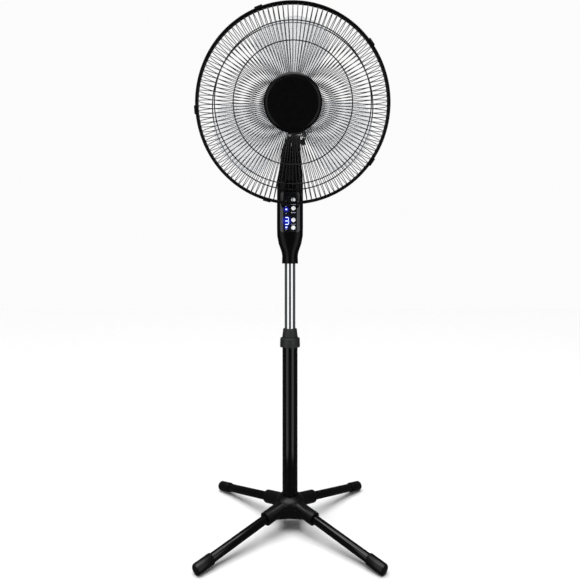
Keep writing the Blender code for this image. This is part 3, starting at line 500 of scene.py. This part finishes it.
def neck_arc(height, inset, start, end, steps, sizes=None):
    """Points of the neck's outline between two angles, 0 at +X and 90 at +Y."""
    centre, width, depth, power = neck_section(height, inset)
    points = []
    for i in range(steps + 1):
        turn = math.radians(start + (end - start) * i / steps)
        x, y = math.cos(turn), math.sin(turn)
        reach = (abs(x) ** power + abs(y) ** power) ** (-1 / power)
        cut = flute(turn, height, sizes) if sizes else 0.0
        points.append((centre + (width * reach - cut) * x, (depth * reach - cut) * y, height))
    return points


def neck_front_at(x, height):
    """Where the front of the neck is, at a distance to the right and a height."""
    centre, width, depth, power = neck_section(height)
    return -depth * (1 - min(abs((x - centre) / width), 1) ** power) ** (1 / power)


def neck_levels():
    """Heights of the neck's rings: close together wherever the outline bends."""
    levels = [row[0] * MM for row in NECK_SECTIONS]
    levels += [(629 + 4 * i) * MM for i in range(20)]
    levels += [FLUTES_LOW + k * MM for k in (0.2, 1.5, 3, 4.2, 12, 25, 37)]
    levels += [FLUTES_HIGH - k * MM for k in (0.2, 1.5, 3, 4.2, 12)]
    return sorted(set(round(level, 6) for level in levels))


def neck_shell(start, end, sizes):
    """Half of the neck's wall, between two angles, clear of the other half by the gap."""
    shift = GAP / 2 if start == 0 else -GAP / 2
    rings = []
    for height in neck_levels():
        outer = neck_arc(height, 0, start, end, 120, sizes)
        inner = neck_arc(height, NECK_WALL, end, start, 120)
        rings.append([(x, y + shift, z) for x, y, z in outer + inner])
    return loft(rings)


def through(outline, low=-30 * MM, high=-8 * MM):
    """A cutter that runs front to back through an outline of (x, z)."""
    return plate(outline, lambda u, v: (u, low, v), lambda u, v: (u, high, v))


def mark(outline, raise_by=0.12 * MM, sink_by=0.3 * MM):
    """A thin plate that follows the front of the panel."""
    return plate(outline, lambda u, v: (u, neck_front_at(u, v) - raise_by, v),
                 lambda u, v: (u, neck_front_at(u, v) + sink_by, v))


def merged(parts):
    """Several meshes as one."""
    whole = bmesh.new()
    for part in parts:
        mesh = bpy.data.meshes.new("part")
        part.to_mesh(mesh)
        part.free()
        whole.from_mesh(mesh)
        bpy.data.meshes.remove(mesh)
    return whole


def bar(x, z, width, height):
    """A rounded bar for a mark, its centre at (x, z)."""
    return mark(rounded_rectangle((x, z), width, height, min(width, height) * 0.45, 3))


def seven_segment(centre, width, height):
    """The figure 3: three level bars and the two upright ones on the right."""
    x, z = centre
    stroke = width * 0.17
    half = height / 2 - stroke / 2
    parts = [bar(x, z + level, width * 0.66, stroke) for level in (-half, 0, half)]
    side = x + width / 2 - stroke / 2
    parts += [bar(side, z + level, stroke, height * 0.36) for level in (-half / 2, half / 2)]
    return parts


def panel_marks():
    """Generic printed signs beside the buttons: short strokes and level bars, no lettering."""
    parts = []
    for height in list(BUTTON_HEIGHTS.values())[:3]:
        tall = 2.4 * MM if height > 740 else 1.2 * MM
        z = (height - 10.4) * MM
        parts += [bar(BUTTON_X + shift * 2.3 * MM, z, 1.5 * MM, tall) for shift in range(-2, 3)]
    parts += [bar(-9 * MM, z * MM, 4 * MM, 0.9 * MM) for z in (758.6, 742.5, 703.8)]
    return parts


class FAN_OT_neck(bpy.types.Operator):
    """Build the two fluted halves of the neck, its top and its rear inlet"""
    bl_idname = "fan.neck"
    bl_label = "Neck"

    def execute(self, context):
        sizes = context.scene.fan_sizes
        middle = (LENS_LOW + LENS_HIGH) / 2
        window = rounded_rectangle((0, middle), LENS_WIDTH + 2 * GAP,
                                   LENS_HIGH - LENS_LOW + 2 * GAP, LENS_CORNER + GAP)
        front = carved(neck_shell(180, 360, sizes), [through(window)], ["DIFFERENCE"])
        add_piece("neck_front_shell", front, "polished_abs", "neck",
                  ("neck_front",), angle=40)
        inlet = Matrix.Translation((0, 0, 672 * MM)) @ Matrix.Rotation(-math.pi / 2, 4, "X")
        hole = lathe([(0, 30 * MM), (4.8 * MM, 30 * MM), (4.8 * MM, 10 * MM), (0, 10 * MM)],
                     inlet, 32)
        rear = carved(neck_shell(0, 180, sizes), [hole], ["DIFFERENCE"])
        add_piece("neck_rear_shell", rear, "polished_abs", "neck",
                  ("neck_rear",), angle=40)
        fine_copy("neck_yoke", "neck", "moulded_abs")
        fine_copy("cord_inlet", "neck", "moulded_rubber", 0.2 * MM)
        return {"FINISHED"}


class FAN_OT_panel(bpy.types.Operator):
    """Build the window, the buttons, the trim, the lit figure and the printed signs"""
    bl_idname = "fan.panel"
    bl_label = "Control panel"

    def execute(self, context):
        middle = (LENS_LOW + LENS_HIGH) / 2
        outline = rounded_rectangle((0, middle), LENS_WIDTH, LENS_HIGH - LENS_LOW, LENS_CORNER)
        levels = [(696 + 4.1 * i) * MM for i in range(25)]
        rings = [neck_arc(z, 0, 200, 340, 48) + neck_arc(z, LENS_THICKNESS, 340, 200, 48)
                 for z in levels]
        tools, operations = [through(outline)], ["INTERSECT"]
        for name, height in BUTTON_HEIGHTS.items():
            hole = arc((BUTTON_X, height * MM), BUTTON_RADIUS + GAP, 0, 360, 32)[:-1]
            tools.append(through(hole))
            operations.append("DIFFERENCE")
            turn = Matrix.Translation((BUTTON_X, 0, height * MM))
            turn = turn @ Matrix.Rotation(-math.pi / 2, 4, "X")
            dome = [(0, BUTTON_FRONT), (2.6 * MM, BUTTON_FRONT + 0.08 * MM),
                    (4.0 * MM, BUTTON_FRONT + 0.3 * MM), (4.7 * MM, BUTTON_FRONT + 0.7 * MM),
                    (BUTTON_RADIUS, BUTTON_FRONT + 1.3 * MM), (BUTTON_RADIUS, BUTTON_BACK),
                    (0, BUTTON_BACK)]
            add_piece(f"button_{name}_cap", lathe(dome, turn, 40), "pale_abs",
                      f"button_{name}", (f"button_{name}",))
        lens = carved(loft(rings), tools, operations)
        add_piece("panel_window", lens, "smoked_acrylic", "neck",
                  ("panel_lens",), angle=25)
        outer = rounded_rectangle((BUTTON_X + 1.2 * MM, middle), 24.4 * MM, 91 * MM, 12 * MM)
        inner = rounded_rectangle((BUTTON_X + 1.2 * MM, middle), 22.8 * MM, 89.4 * MM,
                                  11.2 * MM)
        trim = carved(mark(outer, 0.3 * MM), [through(inner)], ["DIFFERENCE"])
        add_piece("strip_trim", trim, "lacquered_trim", "neck")
        figure = seven_segment(DIGIT_CENTRE, 10.5 * MM, 18 * MM)
        figure += [bar(x, z, 4 * MM, 3 * MM) for x, z in LAMPS]
        add_piece("lit_figure", merged(figure), "lit_segment", "neck")
        add_piece("printed_signs", merged(panel_marks()), "printed_ink", "neck")
        return {"FINISHED"}


# ------------------------------------------------------------------- base and poles


def tube(outer, wall, low, high):
    """The profile of a tube with eased ends."""
    return eased([(outer, high), (outer, low), (outer - wall, low), (outer - wall, high)],
                 0.5 * MM)


class FAN_OT_base(bpy.types.Operator):
    """Build the legs, the sleeve feet and the hub"""
    bl_idname = "fan.base"
    bl_label = "Base"

    def execute(self, context):
        along = Matrix.Rotation(math.pi / 2, 4, "Y")
        for name, angle in LEG_ANGLES.items():
            leg = Matrix.Translation((0, 0, LEG_AXIS_HEIGHT))
            leg = leg @ Matrix.Rotation(math.radians(angle), 4, "Z")
            leg = leg @ Matrix.Rotation(LEG_SLOPE, 4, "Y") @ along
            profile = tube(LEG_RADIUS, LEG_WALL, LEG_START, LEG_END)
            add_piece(f"leg_{name}_tube", lathe(profile, leg, 48), "stoved_enamel", "base",
                      (f"leg_{name}",))
            sleeve = [(radius * MM, reach * MM) for radius, reach in FOOT_PROFILE]
            add_piece(f"foot_{name}_sleeve", lathe(sleeve, leg, 48), "moulded_abs", "base",
                      (f"foot_{name}",))
        fine_copy("base_hub", "base", "moulded_abs", 0.6 * MM, 40)
        fine_copy("hub_cover", "base", "moulded_abs")
        return {"FINISHED"}


class FAN_OT_poles(bpy.types.Operator):
    """Build the two poles and the twist lock between them"""
    bl_idname = "fan.poles"
    bl_label = "Poles"

    def execute(self, context):
        low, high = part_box("lower_pole")
        add_piece("lower_pole_tube",
                  lathe(tube(LOWER_POLE_RADIUS, LOWER_POLE_WALL, low[2], high[2]), None, 96),
                  "stoved_enamel", "base", ("lower_pole",))
        low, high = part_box("upper_pole")
        add_piece("upper_pole_tube",
                  lathe(tube(UPPER_POLE_RADIUS, UPPER_POLE_WALL, low[2], high[2]), None, 96),
                  "chrome_plate", "neck", ("upper_pole",))
        bore, step = LOWER_POLE_RADIUS + GAP, LOWER_POLE_RADIUS - LOWER_POLE_WALL
        collar = [(22.3 * MM, 449 * MM), (23.3 * MM, 447.5 * MM), (23.8 * MM, 427 * MM),
                  (bore, 427 * MM), (bore, 444.8 * MM), (step, 444.8 * MM), (step, 449 * MM)]
        add_piece("collar_ring", lathe(eased(collar, 1.2 * MM), None, 96), "moulded_nylon",
                  "base", ("collar_body",))
        inside = UPPER_POLE_RADIUS + GAP
        nut = [(15.4 * MM, 471 * MM), (16.2 * MM, 470 * MM), (18.7 * MM, 449.3 * MM),
               (15 * MM, 449.3 * MM), (15 * MM, 468 * MM), (inside, 468 * MM),
               (inside, 471 * MM)]
        add_piece("collar_nut_body", lathe(eased(nut, 0.6 * MM), None, 168,
                                           NUT_RIB_COUNT, 0.35 * MM), "moulded_nylon",
                  "collar_nut", ("collar_nut",))
        return {"FINISHED"}


# ------------------------------------------------------------------------------ head


def wire_tree():
    """Geometry nodes: thicken one wire and repeat it round an axis."""
    tree = bpy.data.node_groups.new("radial_wires", "GeometryNodeTree")
    sockets = [("Wire", "NodeSocketGeometry"), ("Count", "NodeSocketInt"),
               ("Wire Radius", "NodeSocketFloat"), ("Centre", "NodeSocketVector"),
               ("Turn", "NodeSocketVector"), ("Material", "NodeSocketMaterial")]
    for name, kind in sockets:
        tree.interface.new_socket(name, in_out="INPUT", socket_type=kind)
    tree.interface.new_socket("Wires", in_out="OUTPUT", socket_type="NodeSocketGeometry")
    given = add_node(tree, "NodeGroupInput").outputs
    path = add_node(tree, "GeometryNodeMeshToCurve", {"Mesh": given["Wire"]})
    section = add_node(tree, "GeometryNodeCurvePrimitiveCircle",
                       {"Resolution": 6, "Radius": given["Wire Radius"]})
    solid = add_node(tree, "GeometryNodeCurveToMesh",
                     {"Curve": path.outputs["Curve"],
                      "Profile Curve": section.outputs["Curve"], "Fill Caps": True})
    points = add_node(tree, "GeometryNodePoints", {"Count": given["Count"]})
    step = add_node(tree, "ShaderNodeMath", {0: 2 * math.pi, 1: given["Count"]},
                    operation="DIVIDE")
    turn = add_node(tree, "ShaderNodeMath",
                    {0: add_node(tree, "GeometryNodeInputIndex").outputs["Index"],
                     1: step.outputs["Value"]}, operation="MULTIPLY")
    angles = add_node(tree, "ShaderNodeCombineXYZ", {"Z": turn.outputs["Value"]})
    spin = add_node(tree, "FunctionNodeEulerToRotation", {"Euler": angles.outputs["Vector"]})
    copies = add_node(tree, "GeometryNodeInstanceOnPoints",
                      {"Points": points.outputs["Points"], "Instance": solid.outputs["Mesh"],
                       "Rotation": spin.outputs["Rotation"]})
    lean = add_node(tree, "FunctionNodeEulerToRotation", {"Euler": given["Turn"]})
    placed = add_node(tree, "GeometryNodeTransform",
                      {"Geometry": copies.outputs["Instances"],
                       "Translation": given["Centre"], "Rotation": lean.outputs["Rotation"]})
    real = add_node(tree, "GeometryNodeRealizeInstances",
                    {"Geometry": placed.outputs["Geometry"]})
    painted = add_node(tree, "GeometryNodeSetMaterial",
                       {"Geometry": real.outputs["Geometry"],
                        "Material": given["Material"]})
    add_node(tree, "NodeGroupOutput", {"Wires": painted.outputs["Geometry"]})
    return tree


def repeat_wire(tree, path, count, radius):
    """One mesh of all the wires of half a guard, in place."""
    mesh = bpy.data.meshes.new("wire")
    mesh.from_pydata([(point.x * MM, 0, point.y * MM) for point in path],
                     [(i, i + 1) for i in range(len(path) - 1)], [])
    item = bpy.data.objects.new("wire", mesh)
    bpy.context.scene.collection.objects.link(item)
    step = item.modifiers.new("wires", "NODES")
    step.node_group = tree
    values = {"Count": count, "Wire Radius": radius, "Centre": MOTOR.to_translation(),
              "Turn": MOTOR.to_euler(), "Material": MATERIALS["dipped_wire"]}
    for socket in tree.interface.items_tree:
        if socket.in_out == "INPUT" and socket.name in values:
            value = values[socket.name]
            is_plain = isinstance(value, (int, float, bpy.types.Material))
            step[socket.identifier] = value if is_plain else tuple(value)
    bpy.context.view_layer.update()
    graph = bpy.context.evaluated_depsgraph_get()
    made = bpy.data.meshes.new_from_object(item.evaluated_get(graph))
    bpy.data.objects.remove(item, do_unlink=True)
    bm = bmesh.new()
    bm.from_mesh(made)
    bpy.data.meshes.remove(made)
    return bm


def hoop(radius, forward, thick):
    """A wire bent into a ring about the motor axis, sizes in mm."""
    section = arc((radius * MM, forward * MM), thick * MM, 360, 0, 8)[:-1]
    return lathe(section, MOTOR, 180)


def flat_ring(outer, inner, back, front, steps=96):
    """A washer about the motor axis, sizes in mm."""
    profile = [(outer * MM, front * MM), (outer * MM, back * MM), (inner * MM, back * MM),
               (inner * MM, front * MM)]
    return lathe(eased(profile, 0.3 * MM), MOTOR, steps)


def rim_block(outline, angle, width):
    """A block on the rim, from an outline of (radius, distance forwards) in mm."""
    turn = MOTOR @ Matrix.Rotation(math.radians(angle), 4, "Z")
    return plate([(r * MM, s * MM) for r, s in outline],
                 lambda r, s: turn @ Vector((r, -width / 2, s)),
                 lambda r, s: turn @ Vector((r, width / 2, s)))


def strap(angle):
    """A clip over the rim: a thin strap with a hook over the front edge."""
    outline = [(210.8, 87.2), (210.8, 102.8), (206.4, 102.8), (206.4, 104.2), (211.2, 104.4),
               (212.4, 103), (212.8, 92), (212.4, 87.2)]
    return rim_block(outline, angle, CLIP_WIDTH)


def hinge(angle):
    """The lug behind the rim that a clip turns on: a web and a barrel."""
    web = [(207.5, 92), (209.9, 92), (210.3, 87.2), (211.6, 86.6), (211.6, 85.4), (207.5, 88.5)]
    barrel = [(u / MM, v / MM) for u, v in
              arc((212.3 * MM, 86 * MM), 1.1 * MM, 0, 360, 16)[:-1]]
    return [rim_block(web, angle, CLIP_WIDTH * 0.8), rim_block(barrel, angle, CLIP_WIDTH)]


class FAN_OT_guard(bpy.types.Operator):
    """Build the wires and hoops of the guard, its rim, its clips and the badge"""
    bl_idname = "fan.guard"
    bl_label = "Guard"

    def execute(self, context):
        sizes = context.scene.fan_sizes
        tree = wire_tree()
        for name, path, rings, plate_ring in (
                ("rear", REAR_WIRE, REAR_RINGS, (48, 31, 50.2, 52.6)),
                ("front", FRONT_WIRE, FRONT_RINGS, (58, 47, 148.5, 150.9))):
            wires = repeat_wire(tree, smooth_path(path, 3), sizes.wire_count,
                                sizes.wire_radius)
            parts = [wires, flat_ring(*plate_ring)] + [hoop(*ring) for ring in rings]
            add_piece(f"{name}_wires", merged(parts), "dipped_wire", "head",
                      (f"{name}_grille",), angle=60)
        rim = [(209.6 * MM, 102.5 * MM), (210.5 * MM, 101 * MM), (210.5 * MM, 92.5 * MM),
               (209.6 * MM, 91 * MM), (206.8 * MM, 91 * MM), (206.8 * MM, 102.5 * MM)]
        parts = [lathe(eased(rim, 0.8 * MM), MOTOR, 192)]
        for angle in CLIP_ANGLES:
            parts += hinge(angle)
        add_piece("rim_hoop", merged(parts), "moulded_abs", "head",
                  ("rim_band",))
        for number, angle in enumerate(CLIP_ANGLES, start=1):
            add_piece(f"rim_strap_{number}", strap(angle), "moulded_abs", f"clip_{number}",
                      (f"rim_clip_{number}",), bevel=0.3 * MM)
        badge = [(0, 159.9 * MM), (30 * MM, 159.7 * MM), (50.6 * MM, 159 * MM),
                 (51.4 * MM, 158.2 * MM), (52.2 * MM, 158.2 * MM), (53 * MM, 158.6 * MM),
                 (55.6 * MM, 157.6 * MM), (57.8 * MM, 156.2 * MM), (59.3 * MM, 154.8 * MM),
                 (60 * MM, 153.4 * MM), (60 * MM, 151.5 * MM), (0, 151.5 * MM)]
        add_piece("badge_disc", lathe(badge, MOTOR, 128), "polished_abs", "head",
                  ("badge",))
        fine_copy("grille_nut", "head", "moulded_abs")
        return {"FINISHED"}


def blade_edges(reach):
    """Leading and trailing angles of a blade, from its tip line, at a share of its span."""
    width = 40 - 9 * reach
    if reach > ROUND_FROM:
        round_off = (reach - ROUND_FROM) / (1 - ROUND_FROM)
        width *= math.sqrt(max(1 - round_off ** 2.2, 0.03))
    lean = 5 * (1 - reach) - 3 * math.sin(math.pi * reach)
    return lean - width, lean + width


def paddle(tip, spans=30, chords=20):
    """One blade: two skins that meet in a thin rounded edge all round."""
    root = BLADE_HUB_RADIUS - 1.5 * MM
    rings = []
    for i in range(spans + 1):
        reach = 1 - (1 - i / spans) ** 1.6
        radius = root + (BLADE_TIP - root) * reach
        start, end = blade_edges(reach)
        front, back = [], []
        for j in range(chords + 1):
            share = 0.5 - 0.5 * math.cos(math.pi * j / chords)
            turn = math.radians(tip + start + (end - start) * share)
            pitch = (13 - 5 * reach) * MM * (2 * share - 1)
            camber = 4 * MM * (1 - (2 * share - 1) ** 2) * (1 - 0.5 * reach)
            level = BLADE_PLANE - 2 * MM - pitch + camber
            half = BLADE_THICKNESS / 2 * (0.35 + 0.65 * (1 - (2 * share - 1) ** 4) ** 0.5)
            half *= 1 - 0.4 * reach
            x, y = radius * math.cos(turn), radius * math.sin(turn)
            front.append((x, y, level + half))
            back.append((x, y, level - half))
        rings.append(front + back[::-1])
    return loft(rings)


class FAN_OT_blades(bpy.types.Operator):
    """Build the three blades with their hub, and the nut that holds them"""
    bl_idname = "fan.blades"
    bl_label = "Blades"

    def execute(self, context):
        bore, wall = 4.3 * MM, 2.5 * MM
        cup = [(bore, BLADE_FRONT), (37 * MM, BLADE_FRONT), (40 * MM, 93 * MM),
               (40 * MM, BLADE_BACK), (40 * MM - wall, BLADE_BACK),
               (40 * MM - wall, BLADE_FRONT - wall - MM), (10 * MM, BLADE_FRONT - wall),
               (10 * MM, BLADE_BACK + MM), (bore, BLADE_BACK + MM)]
        parts = [paddle(tip) for tip in BLADE_ANGLES]
        for part in parts:
            bmesh.ops.transform(part, matrix=MOTOR, verts=part.verts)
        hub = lathe(eased(cup, 0.8 * MM), MOTOR, 96)
        add_piece("blade_wheel", merged([hub] + parts), "frosted_san", "fan",
                  ("fan_blade",), angle=40)
        nut = [(0, 112 * MM), (5 * MM, 111.8 * MM), (9 * MM, 111 * MM), (12 * MM, 109.4 * MM),
               (14 * MM, 107 * MM), (16 * MM, 101 * MM), (16 * MM, 96.3 * MM),
               (bore, 96.3 * MM), (bore, 104.3 * MM), (0, 104.3 * MM)]
        add_piece("spinner", lathe(nut, MOTOR, 120, 20, 0.6 * MM), "moulded_abs", "fan",
                  ("spinner_nut",))
        return {"FINISHED"}


class FAN_OT_motor(bpy.types.Operator):
    """Build the motor's covers, the tilt joint's knob and the swing linkage"""
    bl_idname = "fan.motor"
    bl_label = "Motor and joints"

    def execute(self, context):
        fine_copy("motor_cover", "head", "moulded_abs", 0.5 * MM)
        fine_copy("motor_front_plate", "head", "moulded_abs", 0.5 * MM)
        fine_copy("tilt_bracket", "bracket", "moulded_abs")
        fine_copy("swing_crank", "crank", "zinc_plate", 0.2 * MM)
        fine_copy("swing_link", "link", "zinc_plate", 0.2 * MM)
        across = Matrix.Translation((0, 0, PIVOT_HEIGHT)) @ Matrix.Rotation(math.pi / 2, 4, "Y")
        knob = [(0, 36 * MM), (7.6 * MM, 36 * MM), (9 * MM, 34.8 * MM), (9 * MM, 29.7 * MM),
                (8 * MM, 28.5 * MM), (5 * MM, 28.3 * MM), (5 * MM, 25.3 * MM),
                (3.3 * MM, 25.3 * MM), (3.3 * MM, 34.3 * MM), (0, 34.3 * MM)]
        add_piece("tilt_knob_grip", lathe(knob, across, 96, 12, 0.9 * MM), "moulded_abs",
                  "tilt_knob", ("tilt_knob",))
        return {"FINISHED"}


class FAN_OT_finishes(bpy.types.Operator):
    """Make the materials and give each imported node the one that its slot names"""
    bl_idname = "fan.finishes"
    bl_label = "Finishes"

    def execute(self, context):
        make_plastics()
        make_metals()
        make_panel_finishes()
        for part in frame["record"]["subparts"]:
            item = frame["nodes"][part["node"]]
            finish = MATERIALS[SLOT_MATERIALS[part["material_slot"]]]
            for slot in item.material_slots:
                slot.material = finish
        return {"FINISHED"}


# ----------------------------------------------------------------------------- stage

# Strength of the white surround as a light, and as the camera sees it.
SKY_LIGHT, SKY_SEEN = 0.08, 0.97
PANEL_POWER, OVERHEAD_STRENGTH = 19, 3.45


def area_light(name, place, target, size, power):
    """A soft rectangular light that faces a target."""
    data = bpy.data.lights.new(name, "AREA")
    data.shape = "RECTANGLE"
    data.size, data.size_y = size
    data.energy = power
    item = bpy.data.objects.new(name, data)
    item.location = place
    item.rotation_euler = (Vector(target) - Vector(place)).to_track_quat("-Z", "Y").to_euler()
    bpy.context.scene.collection.objects.link(item)


class FAN_OT_stage(bpy.types.Operator):
    """Add the camera, the pale floor, the soft lights and the sky"""
    bl_idname = "fan.stage"
    bl_label = "Stage"

    def execute(self, context):
        data = bpy.data.cameras.new("camera")
        data.lens, data.sensor_width = 30.5, 36
        data.shift_y = -0.042
        camera = bpy.data.objects.new("camera", data)
        camera.location = (0, -1.17, 0.620)
        camera.rotation_euler = (math.pi / 2, 0, 0)
        context.scene.collection.objects.link(camera)
        context.scene.camera = camera
        bm = bmesh.new()
        bmesh.ops.create_grid(bm, x_segments=1, y_segments=1, size=6)
        floor = bpy.data.objects.new("floor", finish_mesh(bm, "floor"))
        tree, shader = start_material("pale_floor", (*linear("#f7f7f7"), 1), 0.6)
        add_grain(tree, shader, 8 * MM, 0.02 * MM, 0.6, 0.05)
        floor.data.materials.append(MATERIALS["pale_floor"])
        context.scene.collection.objects.link(floor)
        floor.visible_glossy = False
        # Two tall panels beside the camera, with a dark gap between them.
        for name, side in (("left_panel", -1), ("right_panel", 1)):
            place = (side * 1.54, -1.71, 0.7)
            area_light(name, place, (0, 0, 0.65), (1.5, 3.2), PANEL_POWER)
        data = bpy.data.lights.new("overhead", "SUN")
        data.energy, data.angle = OVERHEAD_STRENGTH, math.radians(60)
        overhead = bpy.data.objects.new("overhead", data)
        overhead.rotation_euler = (math.radians(8), math.radians(-6), 0)
        context.scene.collection.objects.link(overhead)
        world = bpy.data.worlds.new("studio")
        world.use_nodes = True
        tree = world.node_tree
        sky = tree.nodes["Background"]
        sky.inputs["Color"].default_value = (1, 1, 1, 1)
        seen = add_node(tree, "ShaderNodeLightPath").outputs["Is Camera Ray"]
        level = add_node(tree, "ShaderNodeMapRange",
                         {"Value": seen, "To Min": SKY_LIGHT, "To Max": SKY_SEEN})
        tree.links.new(level.outputs["Result"], sky.inputs["Strength"])
        context.scene.world = world
        context.scene.view_settings.view_transform = "Standard"
        return {"FINISHED"}


# ---------------------------------------------------------------------------- add-on


class FanSizes(bpy.types.PropertyGroup):
    wire_count: IntProperty(name="Wires", description="Radial wires in each half guard",
                            default=120, min=12)
    wire_radius: FloatProperty(name="Wire radius", description="Half a wire's thickness",
                               default=0.8 * MM, subtype="DISTANCE", unit="LENGTH")
    flute_count: IntProperty(name="Flutes", description="Grooves round the neck",
                             default=34, min=0)
    flute_depth: FloatProperty(name="Flute depth", description="Depth of a neck groove",
                               default=1.0 * MM, subtype="DISTANCE", unit="LENGTH")


def colour_property(name, description, code):
    """A colour that the user can change, from its hex code."""
    return FloatVectorProperty(name=name, description=description, subtype="COLOR", size=3,
                               min=0, max=1, default=linear(code))


class FanColours(bpy.types.PropertyGroup):
    plastic: colour_property("Plastic", "Moulded plastic of neck, hub and head", "#060607")
    enamel: colour_property("Enamel", "Tubes and wires", "#040405")
    collar: colour_property("Collar", "Twist lock between the poles", "#1d1e20")
    blade: colour_property("Blades", "Frosted plastic of the blades", "#dfe3ea")
    glow: colour_property("Glow", "Light of the display", "#2233ff")


class FAN_PT_panel(bpy.types.Panel):
    """Lists the steps that build the fan"""
    bl_idname = "FAN_PT_panel"
    bl_label = "Pedestal fan"
    bl_space_type = "VIEW_3D"
    bl_region_type = "UI"
    bl_category = "Fan"

    def draw(self, context):
        for group in (context.scene.fan_sizes, context.scene.fan_colours):
            for key in group.bl_rna.properties.keys():
                if key not in ("name", "rna_type"):
                    self.layout.prop(group, key)
        for step in STEPS:
            self.layout.operator(step.bl_idname)


STEPS = (FAN_OT_finishes, FAN_OT_stage, FAN_OT_base, FAN_OT_poles, FAN_OT_neck, FAN_OT_panel,
         FAN_OT_motor, FAN_OT_guard, FAN_OT_blades)
CLASSES = (FanSizes, FanColours, *STEPS, FAN_PT_panel)


def register():
    """Add the classes and the sizes and colours that they use."""
    for item in CLASSES:
        bpy.utils.register_class(item)
    bpy.types.Scene.fan_sizes = PointerProperty(type=FanSizes)
    bpy.types.Scene.fan_colours = PointerProperty(type=FanColours)


def unregister():
    """Take out what register added."""
    del bpy.types.Scene.fan_colours
    del bpy.types.Scene.fan_sizes
    for item in reversed(CLASSES):
        bpy.utils.unregister_class(item)


def main():
    """Build the fan step by step."""
    register()
    for step in STEPS:
        getattr(bpy.ops.fan, step.bl_idname.split(".")[1])()


if __name__ == "__main__":
    main()
